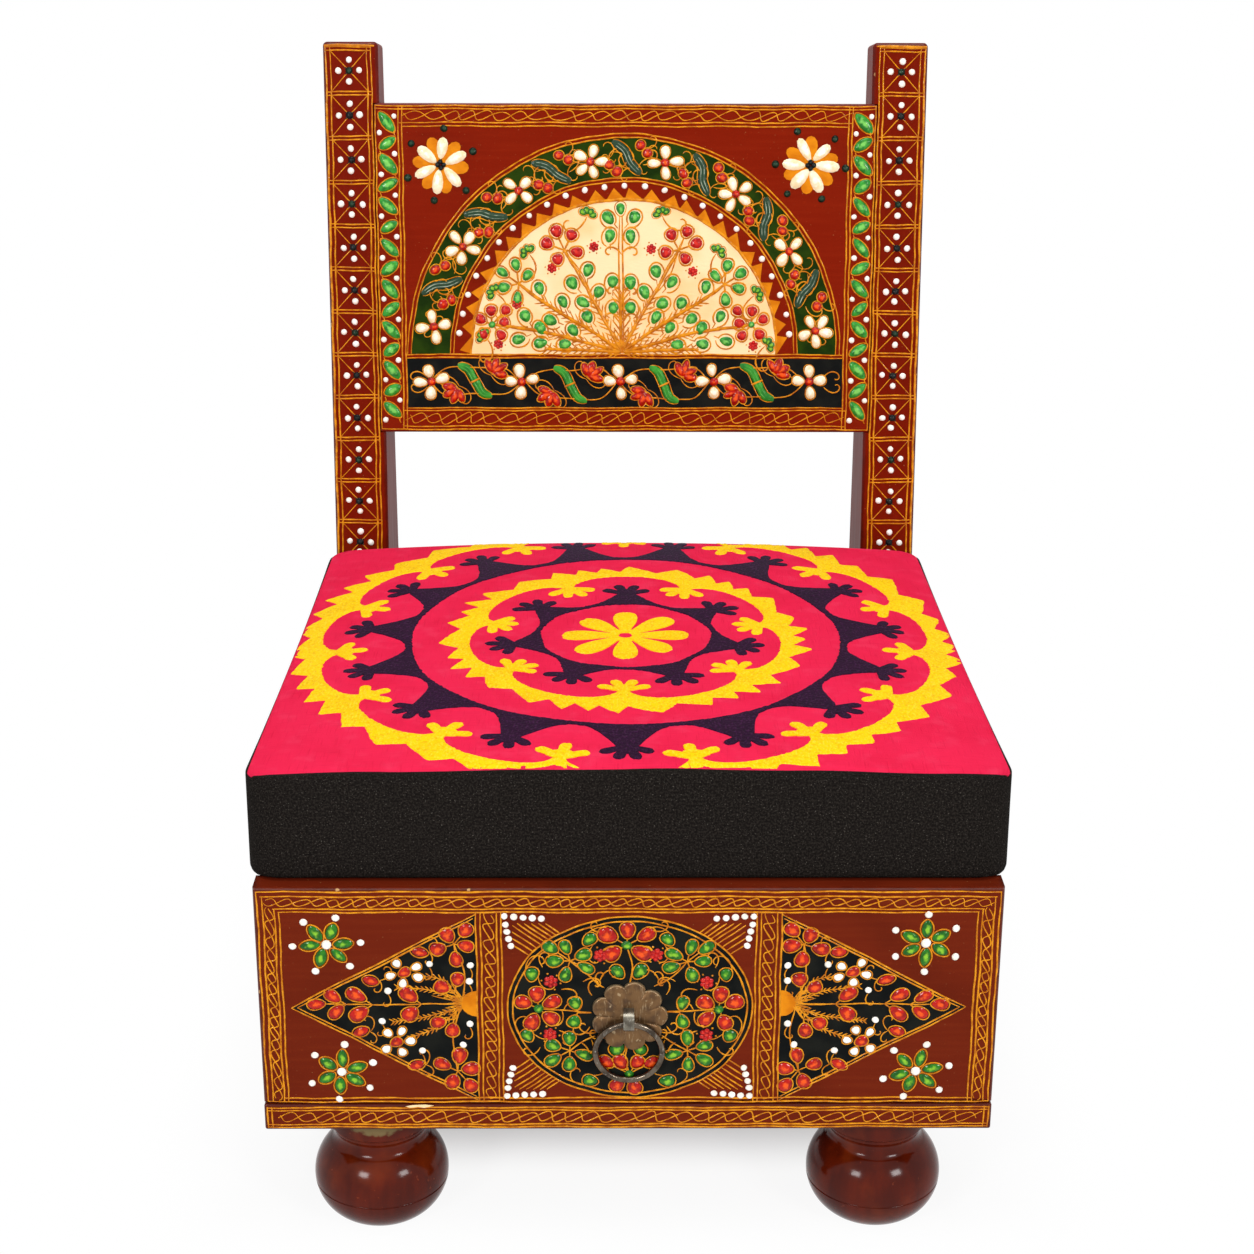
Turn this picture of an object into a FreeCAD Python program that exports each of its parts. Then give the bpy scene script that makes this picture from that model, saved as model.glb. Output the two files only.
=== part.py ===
"""Low painted chair: a seat box with a drawer, turned feet, raked back posts and a loose cushion."""
import FreeCAD, Part
import math
import os
from collections import namedtuple
from FreeCAD import Vector

# Driving dimensions, in millimetres. Depths run back from the drawer's front face.

# Seat box
BOX_WIDTH = 480.0
SEAT_DEPTH = 478.0
BOX_RISE = 158.5
BASE_THICKNESS = 19.0
CARCASS_INSET = 3.5
SIDE_THICKNESS = 16.0
SEAT_THICKNESS = 18.0
BACK_THICKNESS = 16.0
BACK_REBATE = 10.0
RAIL_HEIGHT = 22.0
RAIL_DEPTH = 40.0
BOARD_EASE = 1.5

# Back posts and backrest panel, heights along the raked face
POST_WIDTH = 43.0
POST_FOOT_DEPTH = 97.0
POST_TOP_DEPTH = 44.0
POST_TOP_FALL = 7.0
POST_HORN = 47.0
POST_EASE = 3.5
PANEL_LIFT = 164.5
PANEL_HEIGHT = 260.0
PANEL_THICKNESS = 18.0
PANEL_LAP = 4.5
PANEL_EASE = 1.5

# Turned feet
FOOT_HEIGHT = 86.0
FOOT_SIDE_INSET = 71.0
FOOT_END_INSET = 48.0
FOOT_BASE_RADIUS = 31.5
FOOT_BALL_RADIUS = 45.8
FOOT_BALL_LEVEL = 27.0
FOOT_SHOULDER_RADIUS = 34.5
FOOT_NECK_RADIUS = 31.5
FOOT_NECK_HEIGHT = 10.5
FOOT_COLLAR_RADIUS = 35.0
FOOT_COLLAR_HEIGHT = 19.5
FOOT_BEAD_HEIGHT = 4.0
FOOT_BEAD_INSET = 2.5
FOOT_EDGE = 1.5
FOOT_SCRIBE_DROP = 4.0
FOOT_SCRIBE_RADIUS = 0.7
SPIGOT_RADIUS = 12.5

# Drawer
FRONT_THICKNESS = 20.0
FRONT_EASE = 3.5
DRAWER_SIDE_THICKNESS = 12.0
DRAWER_BACK_THICKNESS = 12.0
DRAWER_BACK_DROP = 6.0
DRAWER_BACK_INSET = 6.0
DRAWER_BOTTOM_THICKNESS = 6.0
DRAWER_BOTTOM_LIFT = 8.0
GROOVE_DEPTH = 5.0
RUNNER_WIDTH = 18.0
RUNNER_THICKNESS = 4.0

# Ring pull
PULL_HEIGHT = 66.5
ROSETTE_RADIUS = 26.0
ROSETTE_NOTCH_RADIUS = 21.8
ROSETTE_LOBES = 9
ROSETTE_TURN = 11.0
ROSETTE_DOME = 4.0
ROSETTE_SHEET = 1.2
EYE_REACH = 6.6
EYE_RADIUS = 5.6
STRAP_WIDTH = 7.0
STRAP_THICKNESS = 1.5
STRAP_CLINCH = 12.0
RING_RADIUS = 21.8
RING_WIRE_RADIUS = 2.1

# Cushion
CUSHION_SIDE_OVERHANG = 7.5
CUSHION_SETBACK = 9.5
CUSHION_EDGE_HEIGHT = 72.0
CUSHION_CROWN = 8.0
CUSHION_CORNER = 26.0
CUSHION_DRAW = 4.0
# Shares of the edge height, and of the crown above it, each with the outline's inset there
CUSHION_SIDE_PROFILE = ((0.0, 3.5), (0.1, 1.0), (0.4, 0.0), (0.75, 0.5), (0.92, 2.5), (1.0, 7.0))
CUSHION_CROWN_PROFILE = ((0.4, 24.0), (0.8, 70.0), (1.0, 130.0))
COVER_THICKNESS = 1.6

# Fits and clearances
FRONT_GAP = 0.6
DRAWER_SIDE_PLAY = 1.0
DRAWER_HEAD_ROOM = 6.5
DRAWER_END_ROOM = 28.0
DRAWER_TOP_DROP = 1.0
DRAWER_FOOT_GAP = 1.0
JOINT_PLAY = 0.2
GROOVE_PLAY = 0.1
HOLE_PLAY = 0.1
STRAP_PLAY = 0.2
RING_REST_GAP = 0.4
RING_SEAT_GAP = 0.3
CUSHION_PLAY = 0.3
CUSHION_BACK_GAP = 1.0
PIN_SINK = 0.3

# Fasteners: length, shank radius, head radius, head height and slot width
Fastener = namedtuple("Fastener", "length shank head head_height slot")
BASE_SCREW_LENGTH = 45.0
BASE_SCREW_SHANK = 2.0
BASE_SCREW_HEAD = 4.2
BASE_SCREW_HEAD_HEIGHT = 3.0
BASE_SCREW_SLOT = 1.0
POST_SCREW_LENGTH = 75.0
POST_SCREW_SHANK = 3.0
POST_SCREW_HEAD = 6.0
POST_SCREW_HEAD_HEIGHT = 4.0
POST_SCREW_SLOT = 1.4
SIDE_DOWEL_LENGTH = 50.0
SIDE_DOWEL_SHANK = 4.0
PANEL_DOWEL_LENGTH = 40.0
PANEL_DOWEL_SHANK = 4.0
SEAT_NAIL_LENGTH = 36.0
SEAT_NAIL_SHANK = 1.3
SEAT_NAIL_HEAD = 2.6
SEAT_NAIL_HEAD_HEIGHT = 1.4
BACK_NAIL_LENGTH = 36.0
BACK_NAIL_SHANK = 1.2
BACK_NAIL_HEAD = 2.5
BACK_NAIL_HEAD_HEIGHT = 1.3
RUNNER_PIN_LENGTH = 15.0
RUNNER_PIN_SHANK = 0.9
RUNNER_PIN_HEAD = 1.7
RUNNER_PIN_HEAD_HEIGHT = 1.0
DRAWER_DOWEL_LENGTH = 34.0
DRAWER_DOWEL_SHANK = 3.0
DRAWER_NAIL_LENGTH = 34.0
DRAWER_NAIL_SHANK = 1.0
DRAWER_NAIL_HEAD = 2.0
DRAWER_NAIL_HEAD_HEIGHT = 1.0
BASE_SCREW = Fastener(BASE_SCREW_LENGTH, BASE_SCREW_SHANK, BASE_SCREW_HEAD,
                      BASE_SCREW_HEAD_HEIGHT, BASE_SCREW_SLOT)
POST_SCREW = Fastener(POST_SCREW_LENGTH, POST_SCREW_SHANK, POST_SCREW_HEAD,
                      POST_SCREW_HEAD_HEIGHT, POST_SCREW_SLOT)
SIDE_DOWEL = Fastener(SIDE_DOWEL_LENGTH, SIDE_DOWEL_SHANK, SIDE_DOWEL_SHANK, 0.0, 0.0)
PANEL_DOWEL = Fastener(PANEL_DOWEL_LENGTH, PANEL_DOWEL_SHANK, PANEL_DOWEL_SHANK, 0.0, 0.0)
SEAT_NAIL = Fastener(SEAT_NAIL_LENGTH, SEAT_NAIL_SHANK, SEAT_NAIL_HEAD, SEAT_NAIL_HEAD_HEIGHT, 0.0)
BACK_NAIL = Fastener(BACK_NAIL_LENGTH, BACK_NAIL_SHANK, BACK_NAIL_HEAD, BACK_NAIL_HEAD_HEIGHT, 0.0)
RUNNER_PIN = Fastener(RUNNER_PIN_LENGTH, RUNNER_PIN_SHANK, RUNNER_PIN_HEAD, RUNNER_PIN_HEAD_HEIGHT, 0.0)
DRAWER_DOWEL = Fastener(DRAWER_DOWEL_LENGTH, DRAWER_DOWEL_SHANK, DRAWER_DOWEL_SHANK, 0.0, 0.0)
DRAWER_NAIL = Fastener(DRAWER_NAIL_LENGTH, DRAWER_NAIL_SHANK, DRAWER_NAIL_HEAD,
                       DRAWER_NAIL_HEAD_HEIGHT, 0.0)
DRAWER_DOWEL_SINK = 12.0

# Places of the fasteners
SIDE_SCREW_SHARES = (0.1, 0.5, 0.9)
POST_SCREW_SHARES = (0.3, 0.7)
SEAT_NAIL_SHARES = (0.08, 0.36, 0.64, 0.92)
RAIL_NAIL_OFFSET = 110.0
SIDE_DOWEL_SHARES = (0.25, 0.75)
BACK_NAIL_SHARES = (0.2, 0.5, 0.8)
PANEL_DOWEL_SHARES = (0.15, 0.5, 0.85)
RUNNER_PIN_SHARES = (0.1, 0.5, 0.9)
DRAWER_DOWEL_SHARES = (0.3, 0.75)
DRAWER_NAIL_SHARES = (0.15, 0.5, 0.85)

# Levels, from the floor up
base_top = FOOT_HEIGHT + BASE_THICKNESS
seat_top = base_top + BOX_RISE
seat_under = seat_top - SEAT_THICKNESS
rail_under = seat_under - RAIL_HEIGHT
runner_top = base_top + RUNNER_THICKNESS
drawer_side_top = rail_under - DRAWER_HEAD_ROOM
bottom_under = runner_top + DRAWER_BOTTOM_LIFT
bottom_top = bottom_under + DRAWER_BOTTOM_THICKNESS
drawer_back_top = drawer_side_top - DRAWER_BACK_DROP
front_under = base_top + DRAWER_FOOT_GAP
front_top = seat_top - DRAWER_TOP_DROP
pull_level = base_top + PULL_HEIGHT

# Raked faces of the posts
raked_length = PANEL_LIFT + PANEL_HEIGHT + POST_HORN
rake = math.asin((POST_FOOT_DEPTH - POST_TOP_DEPTH) / raked_length)
post_top = seat_top + raked_length * math.cos(rake)

# Depths: the origin lies midway between the strap's nose and the posts' backs
overall_depth = SEAT_DEPTH + POST_FOOT_DEPTH
strap_outer = EYE_RADIUS + STRAP_THICKNESS
pull_reach = EYE_REACH + strap_outer
face_y = (pull_reach - overall_depth) / 2
rear_y = face_y + overall_depth
post_front_y = face_y + SEAT_DEPTH
front_back_y = face_y + FRONT_THICKNESS
carcass_front_y = front_back_y + FRONT_GAP
drawer_end_y = post_front_y - DRAWER_END_ROOM
drawer_back_y = (drawer_end_y - DRAWER_BACK_INSET - DRAWER_BACK_THICKNESS, drawer_end_y - DRAWER_BACK_INSET)
eye_y = face_y - EYE_REACH

# Ring: its wire lies in the foot of the eye, clear of the strap's edges, and its low point near the drawer
ring_sag = RING_RADIUS - math.sqrt(RING_RADIUS ** 2 - (STRAP_WIDTH / 2) ** 2)
ring_level = pull_level - (EYE_RADIUS - RING_WIRE_RADIUS - RING_SEAT_GAP - ring_sag)
ring_lean = math.asin((EYE_REACH - RING_WIRE_RADIUS - RING_REST_GAP) / (2 * RING_RADIUS))

# Widths, on the right-hand side
box_half = BOX_WIDTH / 2
carcass_half = box_half - CARCASS_INSET
side_inner = carcass_half - SIDE_THICKNESS
side_middle = carcass_half - SIDE_THICKNESS / 2
post_inner = carcass_half - POST_WIDTH
post_middle = carcass_half - POST_WIDTH / 2
panel_half = post_inner + PANEL_LAP
drawer_half = side_inner - DRAWER_SIDE_PLAY
drawer_inner = drawer_half - DRAWER_SIDE_THICKNESS
drawer_side_middle = drawer_half - DRAWER_SIDE_THICKNESS / 2
foot_x = box_half - FOOT_SIDE_INSET
foot_depths = (FOOT_END_INSET, overall_depth - FOOT_END_INSET)

UP = Vector(0, 0, 1)
DOWN = Vector(0, 0, -1)
BACK = Vector(0, 1, 0)
FORWARD = Vector(0, -1, 0)
RIGHT = Vector(1, 0, 0)
ORIGIN = Vector(0, 0, 0)
SIDES = (-1, 1)
TINY = 0.01


def slab(x_range, y_range, z_range):
    """Return a box between the low and high value on each axis."""
    low = Vector(x_range[0], y_range[0], z_range[0])
    return Part.makeBox(x_range[1] - x_range[0], y_range[1] - y_range[0], z_range[1] - z_range[0], low)


def mirrored(shape):
    """Return the left-hand twin of a right-hand shape."""
    return shape.mirror(ORIGIN, RIGHT)


def eased(shape, radius, wanted=lambda edge: True):
    """Return the shape with the wanted edges rounded."""
    return shape.makeFillet(radius, [edge for edge in shape.Edges if wanted(edge)])


def on_rake(shape):
    """Return a shape drawn upright from the seat's back edge, leant back on to the posts' raked faces."""
    leant = shape.copy()
    leant.rotate(ORIGIN, RIGHT, -math.degrees(rake))
    leant.translate(Vector(0, post_front_y, seat_top))
    return leant


def rake_point(x, into, along):
    """Return the place of a point given across, into and along the posts' raked faces."""
    y = post_front_y + along * math.sin(rake) + into * math.cos(rake)
    z = seat_top + along * math.cos(rake) - into * math.sin(rake)
    return Vector(x, y, z)


def between(low, high, shares):
    """Return the values at the given shares of the way from low to high."""
    return [low + share * (high - low) for share in shares]


def fastener(kind, at, towards, grow=0.0):
    """Return one fastener with its head's top at a point, or, grown, the hole that takes it."""
    solid = Part.makeCylinder(kind.shank + grow, kind.length + grow)
    if kind.head_height:
        solid = solid.fuse(Part.makeCone(kind.head + grow, kind.shank + grow, kind.head_height))
    if kind.slot and not grow:
        reach = kind.head
        half = kind.slot / 2
        solid = solid.cut(slab((-reach, reach), (-half, half), (0, kind.head_height / 2)))
    solid.Placement = FreeCAD.Placement(at, FreeCAD.Rotation(UP, towards))
    return solid


def fastener_places():
    """Return every fastener group as a list of kind, place of the head and direction."""
    names = ("base_screws", "post_screws", "side_dowels", "panel_dowels", "seat_nails", "back_nails",
             "runner_pins", "drawer_dowels", "drawer_nails")
    groups = {name: [] for name in names}
    rail_y = carcass_front_y + RAIL_DEPTH / 2
    runner_x = side_inner - RUNNER_WIDTH / 2
    back_nail_x = post_inner + BACK_REBATE / 2
    drawer_back_middle = sum(drawer_back_y) / 2
    for side in SIDES:
        for y in between(carcass_front_y, post_front_y, SIDE_SCREW_SHARES):
            groups["base_screws"].append((BASE_SCREW, Vector(side * side_middle, y, FOOT_HEIGHT), UP))
        for y in between(post_front_y, rear_y, POST_SCREW_SHARES):
            groups["post_screws"].append((POST_SCREW, Vector(side * post_middle, y, FOOT_HEIGHT), UP))
        for z in between(base_top, seat_under, SIDE_DOWEL_SHARES):
            at = Vector(side * side_middle, post_front_y - SIDE_DOWEL.length / 2, z)
            groups["side_dowels"].append((SIDE_DOWEL, at, BACK))
        for along in between(PANEL_LIFT, PANEL_LIFT + PANEL_HEIGHT, PANEL_DOWEL_SHARES):
            start = panel_half - PANEL_DOWEL.length / 2
            at = rake_point(side * start, PANEL_THICKNESS / 2, along)
            groups["panel_dowels"].append((PANEL_DOWEL, at, RIGHT * side))
        for y in between(carcass_front_y, post_front_y, SEAT_NAIL_SHARES):
            groups["seat_nails"].append((SEAT_NAIL, Vector(side * side_middle, y, seat_top), DOWN))
        groups["seat_nails"].append((SEAT_NAIL, Vector(side * RAIL_NAIL_OFFSET, rail_y, seat_top), DOWN))
        for z in between(base_top, seat_under, BACK_NAIL_SHARES):
            groups["back_nails"].append((BACK_NAIL, Vector(side * back_nail_x, rear_y, z), FORWARD))
        for y in between(carcass_front_y, post_front_y, RUNNER_PIN_SHARES):
            at = Vector(side * runner_x, y, runner_top - PIN_SINK)
            groups["runner_pins"].append((RUNNER_PIN, at, DOWN))
        for z in between(bottom_top, drawer_side_top, DRAWER_DOWEL_SHARES):
            at = Vector(side * drawer_side_middle, front_back_y - DRAWER_DOWEL_SINK, z)
            groups["drawer_dowels"].append((DRAWER_DOWEL, at, BACK))
        for z in between(bottom_top, drawer_back_top, DRAWER_NAIL_SHARES):
            at = Vector(side * drawer_half, drawer_back_middle, z)
            groups["drawer_nails"].append((DRAWER_NAIL, at, RIGHT * -side))
    return groups


FASTENERS = fastener_places()


def fastener_group(name):
    """Return one node's fasteners as a group of separate solids."""
    return Part.makeCompound([fastener(kind, at, towards) for kind, at, towards in FASTENERS[name]])


def drilled(shape, *names):
    """Return the shape with the holes of the named fastener groups."""
    places = [place for name in names for place in FASTENERS[name]]
    holes = [fastener(kind, at, towards, HOLE_PLAY) for kind, at, towards in places]
    return shape.cut(Part.makeCompound(holes))


def base_board():
    """Board under the whole chair, bored for the feet."""
    board = eased(slab((-box_half, box_half), (face_y, rear_y), (FOOT_HEIGHT, base_top)), BOARD_EASE)
    for side in SIDES:
        for depth in foot_depths:
            at = Vector(side * foot_x, face_y + depth, FOOT_HEIGHT)
            board = board.cut(Part.makeCylinder(SPIGOT_RADIUS + HOLE_PLAY, BASE_THICKNESS, at))
    return drilled(board, "base_screws", "post_screws", "runner_pins")


def right_side_panel():
    """Side of the seat box, from the drawer front to the post."""
    panel = slab((side_inner, carcass_half), (carcass_front_y, post_front_y), (base_top, seat_under))
    return drilled(panel, "base_screws", "seat_nails", "side_dowels")


def back_board():
    """Board that closes the box, let into the backs of the posts."""
    half = post_inner + BACK_REBATE - JOINT_PLAY
    board = slab((-half, half), (rear_y - BACK_THICKNESS, rear_y), (base_top, seat_under))
    return drilled(board, "back_nails")


def seat_board():
    """Board that carries the cushion, notched round the posts."""
    board = slab((-carcass_half, carcass_half), (carcass_front_y, rear_y), (seat_under, seat_top))
    for side in SIDES:
        ends = sorted((side * (post_inner - JOINT_PLAY), side * box_half))
        board = board.cut(slab(ends, (post_front_y - JOINT_PLAY, rear_y), (seat_under, seat_top)))
    return drilled(board, "seat_nails")


def front_rail():
    """Rail under the seat board's front edge, between the sides."""
    depth = (carcass_front_y, carcass_front_y + RAIL_DEPTH)
    return drilled(slab((-side_inner, side_inner), depth, (rail_under, seat_under)), "seat_nails")


def right_runner():
    """Strip on the base board that the drawer slides on."""
    span = (side_inner - RUNNER_WIDTH, side_inner)
    return drilled(slab(span, (carcass_front_y, post_front_y), (base_top, runner_top)), "runner_pins")


def right_post():
    """Back post: upright behind, raked in front above the seat, its top falling to the back."""
    profile = [
        Vector(post_inner, post_front_y, seat_top),
        Vector(post_inner, rear_y, seat_top),
        Vector(post_inner, rear_y, post_top - POST_TOP_FALL),
        Vector(post_inner, rear_y - POST_TOP_DEPTH, post_top),
    ]
    upper = Part.Face(Part.makePolygon(profile + profile[:1])).extrude(Vector(POST_WIDTH, 0, 0))
    upper = eased(upper, POST_EASE, lambda edge: edge.BoundBox.ZMax > seat_top + TINY)
    post = upper.fuse(slab((post_inner, carcass_half), (post_front_y, rear_y), (base_top, seat_top)))
    panel_ends = (PANEL_LIFT - JOINT_PLAY, PANEL_LIFT + PANEL_HEIGHT + JOINT_PLAY)
    panel_rebate = slab((0, panel_half + JOINT_PLAY), (-POST_EASE, PANEL_THICKNESS), panel_ends)
    back_depth = (rear_y - BACK_THICKNESS, rear_y)
    back_rebate = slab((0, post_inner + BACK_REBATE), back_depth, (base_top, seat_under))
    post = post.cut(on_rake(panel_rebate)).cut(back_rebate).removeSplitter()
    return drilled(post, "post_screws", "side_dowels", "panel_dowels", "back_nails")


def backrest_panel():
    """Painted board between the posts, flush with their raked faces."""
    heights = (PANEL_LIFT, PANEL_LIFT + PANEL_HEIGHT)
    board = eased(slab((-panel_half, panel_half), (0, PANEL_THICKNESS), heights), PANEL_EASE)
    return drilled(on_rake(board), "panel_dowels")


def ball_arc(radius, level):
    """Return the arc from the ball's widest circle to a radius at a level, with its centre and radius."""
    rise = level - FOOT_BALL_LEVEL
    centre = (FOOT_BALL_RADIUS ** 2 - radius ** 2 - rise ** 2) / (2 * (FOOT_BALL_RADIUS - radius))
    swing = FOOT_BALL_RADIUS - centre
    half_turn = math.atan2(rise, radius - centre) / 2
    middle = Vector(centre + swing * math.cos(half_turn), 0, FOOT_BALL_LEVEL + swing * math.sin(half_turn))
    widest = Vector(FOOT_BALL_RADIUS, 0, FOOT_BALL_LEVEL)
    return Part.Arc(widest, middle, Vector(radius, 0, level)).toShape(), centre, swing


def turned_foot(side, depth):
    """Bun foot: ball with a scribed line, hollow neck, bead, collar and a spigot into the base board."""
    collar_under = FOOT_HEIGHT - FOOT_COLLAR_HEIGHT
    bead_under = collar_under - FOOT_BEAD_HEIGHT
    ball_top = bead_under - FOOT_NECK_HEIGHT
    bead_radius = FOOT_COLLAR_RADIUS - FOOT_BEAD_INSET
    bead_middle = (bead_under + collar_under) / 2
    shoulder = Vector(FOOT_SHOULDER_RADIUS, 0, ball_top)
    bead_low = Vector(FOOT_NECK_RADIUS, 0, bead_under)
    bead_high = Vector(FOOT_NECK_RADIUS, 0, collar_under)
    collar = [
        bead_high,
        Vector(FOOT_COLLAR_RADIUS - FOOT_EDGE, 0, collar_under),
        Vector(FOOT_COLLAR_RADIUS, 0, collar_under + FOOT_EDGE),
        Vector(FOOT_COLLAR_RADIUS, 0, FOOT_HEIGHT - FOOT_EDGE),
        Vector(FOOT_COLLAR_RADIUS - FOOT_EDGE, 0, FOOT_HEIGHT),
        Vector(SPIGOT_RADIUS, 0, FOOT_HEIGHT),
        Vector(SPIGOT_RADIUS, 0, base_top),
        Vector(0, 0, base_top),
        ORIGIN,
        Vector(FOOT_BASE_RADIUS, 0, 0),
    ]
    lower, centre, swing = ball_arc(FOOT_BASE_RADIUS, 0)
    upper, _, _ = ball_arc(FOOT_SHOULDER_RADIUS, ball_top)
    hollow = Vector(FOOT_NECK_RADIUS, 0, ball_top + FOOT_NECK_HEIGHT / 3)
    neck = Part.Arc(shoulder, hollow, bead_low).toShape()
    bead = Part.Arc(bead_low, Vector(bead_radius, 0, bead_middle), bead_high).toShape()
    edges = [lower, upper, neck, bead] + Part.makePolygon(collar).Edges
    foot = Part.Face(Part.Wire(Part.__sortEdges__(edges))).revolve(ORIGIN, UP, 360)
    scribe_level = FOOT_BALL_LEVEL - FOOT_SCRIBE_DROP
    scribe = centre + math.sqrt(swing ** 2 - FOOT_SCRIBE_DROP ** 2)
    foot = foot.cut(Part.makeTorus(scribe, FOOT_SCRIBE_RADIUS, Vector(0, 0, scribe_level)))
    foot.translate(Vector(side * foot_x, face_y + depth, 0))
    return foot


def drawer_front():
    """Painted front that covers the box's whole face, slotted for the strap and grooved for the bottom."""
    front = slab((-box_half, box_half), (face_y, front_back_y), (front_under, front_top))
    front = eased(front, FRONT_EASE, lambda edge: edge.BoundBox.YMax < face_y + TINY)
    groove_half = drawer_inner + GROOVE_DEPTH
    groove_z = (bottom_under - GROOVE_PLAY, bottom_top + GROOVE_PLAY)
    groove = slab((-groove_half, groove_half), (front_back_y - GROOVE_DEPTH, front_back_y), groove_z)
    return drilled(front.cut(groove).cut(strap_slot()), "drawer_dowels")


def drawer_right_side():
    """Side of the drawer box, grooved for the bottom."""
    side = slab((drawer_inner, drawer_half), (front_back_y, drawer_end_y), (runner_top, drawer_side_top))
    groove_z = (bottom_under - GROOVE_PLAY, bottom_top + GROOVE_PLAY)
    groove = slab((drawer_inner, drawer_inner + GROOVE_DEPTH), (front_back_y, drawer_end_y), groove_z)
    return drilled(side.cut(groove), "drawer_dowels", "drawer_nails")


def drawer_back():
    """Back of the drawer box, standing on the bottom between the sides."""
    board = slab((-drawer_inner, drawer_inner), drawer_back_y, (bottom_top, drawer_back_top))
    return drilled(board, "drawer_nails")


def drawer_bottom():
    """Thin bottom, slid into the grooves from behind."""
    half = drawer_inner + GROOVE_DEPTH - GROOVE_PLAY
    depth = (front_back_y - GROOVE_DEPTH + GROOVE_PLAY, drawer_back_y[1])
    return slab((-half, half), depth, (bottom_under, bottom_top))


def strap_slot():
    """Slot that the strap's two legs pass through, from the rosette's dome to the drawer front's back."""
    half = STRAP_WIDTH / 2 + STRAP_PLAY
    rise = strap_outer + STRAP_PLAY
    return slab((-half, half), (face_y - ROSETTE_DOME, front_back_y), (pull_level - rise, pull_level + rise))


def pull_rosette():
    """Domed sheet plate with a lobed rim, under the strap."""
    flat = ROSETTE_SHEET
    dome = ROSETTE_DOME - flat
    swing = (ROSETTE_RADIUS ** 2 + dome ** 2) / (2 * dome)
    middle_x = ROSETTE_RADIUS / 2
    middle_rise = math.sqrt(swing ** 2 - middle_x ** 2) - (swing - dome)
    low = [UP * dome, Vector(middle_x, 0, middle_rise), Vector(ROSETTE_RADIUS, 0, 0)]
    high = [point + UP * flat for point in low]
    edges = [Part.Arc(*low).toShape(), Part.Arc(*high).toShape()]
    edges += [Part.makeLine(low[0], high[0]), Part.makeLine(low[2], high[2])]
    section = Part.Wire(Part.__sortEdges__(edges))
    plate = Part.Face(section).revolve(ORIGIN, UP, 360)
    step = 2 * math.pi / ROSETTE_LOBES
    lobes = []
    for index in range(ROSETTE_LOBES):
        turns = [math.radians(ROSETTE_TURN) + (index + share) * step for share in (-0.5, 0.0, 0.5)]
        radii = (ROSETTE_NOTCH_RADIUS, ROSETTE_RADIUS, ROSETTE_NOTCH_RADIUS)
        points = [Vector(r * math.sin(a), r * math.cos(a), 0) for r, a in zip(radii, turns)]
        lobes.append(Part.Arc(*points).toShape())
    outline = Part.Face(Part.Wire(Part.__sortEdges__(lobes))).extrude(UP * ROSETTE_DOME)
    plate = plate.common(outline)
    plate.rotate(ORIGIN, RIGHT, 90)
    plate.translate(Vector(0, face_y, pull_level))
    return plate.cut(strap_slot())


def ring_staple():
    """Strap bent round the ring, with both legs through the drawer front and clinched behind it."""
    outer = strap_outer
    inner = EYE_RADIUS
    rest = EYE_REACH + FRONT_THICKNESS
    end = rest + STRAP_THICKNESS
    tip = outer + STRAP_CLINCH

    def at(y, z):
        return Vector(-STRAP_WIDTH / 2, eye_y + y, pull_level + z)

    rear = [at(0, -outer), at(rest, -outer), at(rest, -tip), at(end, -tip), at(end, -inner), at(0, -inner)]
    front = [at(0, inner), at(end, inner), at(end, tip), at(rest, tip), at(rest, outer), at(0, outer)]
    edges = Part.makePolygon(rear).Edges + Part.makePolygon(front).Edges
    edges.append(Part.Arc(at(0, -inner), at(-inner, 0), at(0, inner)).toShape())
    edges.append(Part.Arc(at(0, outer), at(-outer, 0), at(0, -outer)).toShape())
    section = Part.Face(Part.Wire(Part.__sortEdges__(edges)))
    return section.extrude(Vector(STRAP_WIDTH, 0, 0))


def pull_ring():
    """Ring hung in the strap, its lowest point resting near the drawer front."""
    ring = Part.makeTorus(RING_RADIUS, RING_WIRE_RADIUS, Vector(0, 0, -RING_RADIUS), FORWARD)
    ring.rotate(ORIGIN, RIGHT, math.degrees(ring_lean))
    ring.translate(Vector(0, eye_y, ring_level))
    return ring


def cushion_outline(inset, level):
    """Return one level of the cushion: four rounded corners with the sides drawn in between them."""
    right = box_half + CUSHION_SIDE_OVERHANG - inset
    front = face_y + CUSHION_SETBACK + inset
    back = post_front_y - CUSHION_BACK_GAP - inset
    middle_y = (front + back) / 2
    short = CUSHION_CORNER * (1 - math.sqrt(0.5))
    corner = CUSHION_CORNER
    draw = CUSHION_DRAW

    def at(x, y):
        return Vector(x, y, level)

    arcs = [
        (at(corner - right, front), at(0, front + draw), at(right - corner, front)),
        (at(right - corner, front), at(right - short, front + short), at(right, front + corner)),
        (at(right, front + corner), at(right - draw, middle_y), at(right, back - corner)),
        (at(right, back - corner), at(right - short, back - short), at(right - corner, back)),
        (at(right - corner, back), at(0, back - draw), at(corner - right, back)),
        (at(corner - right, back), at(short - right, back - short), at(-right, back - corner)),
        (at(-right, back - corner), at(draw - right, middle_y), at(-right, front + corner)),
        (at(-right, front + corner), at(short - right, front + short), at(corner - right, front)),
    ]
    return Part.Wire([Part.Arc(*points).toShape() for points in arcs])


def cushion_form(shrink):
    """Return the cushion as a closed crowned form, smaller by a wall's thickness all round."""
    low = seat_top + CUSHION_PLAY + shrink
    edge = CUSHION_EDGE_HEIGHT - 2 * shrink
    levels = [(share * edge, inset) for share, inset in CUSHION_SIDE_PROFILE]
    levels += [(edge + share * CUSHION_CROWN, inset) for share, inset in CUSHION_CROWN_PROFILE]
    outlines = [cushion_outline(inset + shrink, low + rise) for rise, inset in levels]
    return Part.makeLoft(outlines, True, True)


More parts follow.
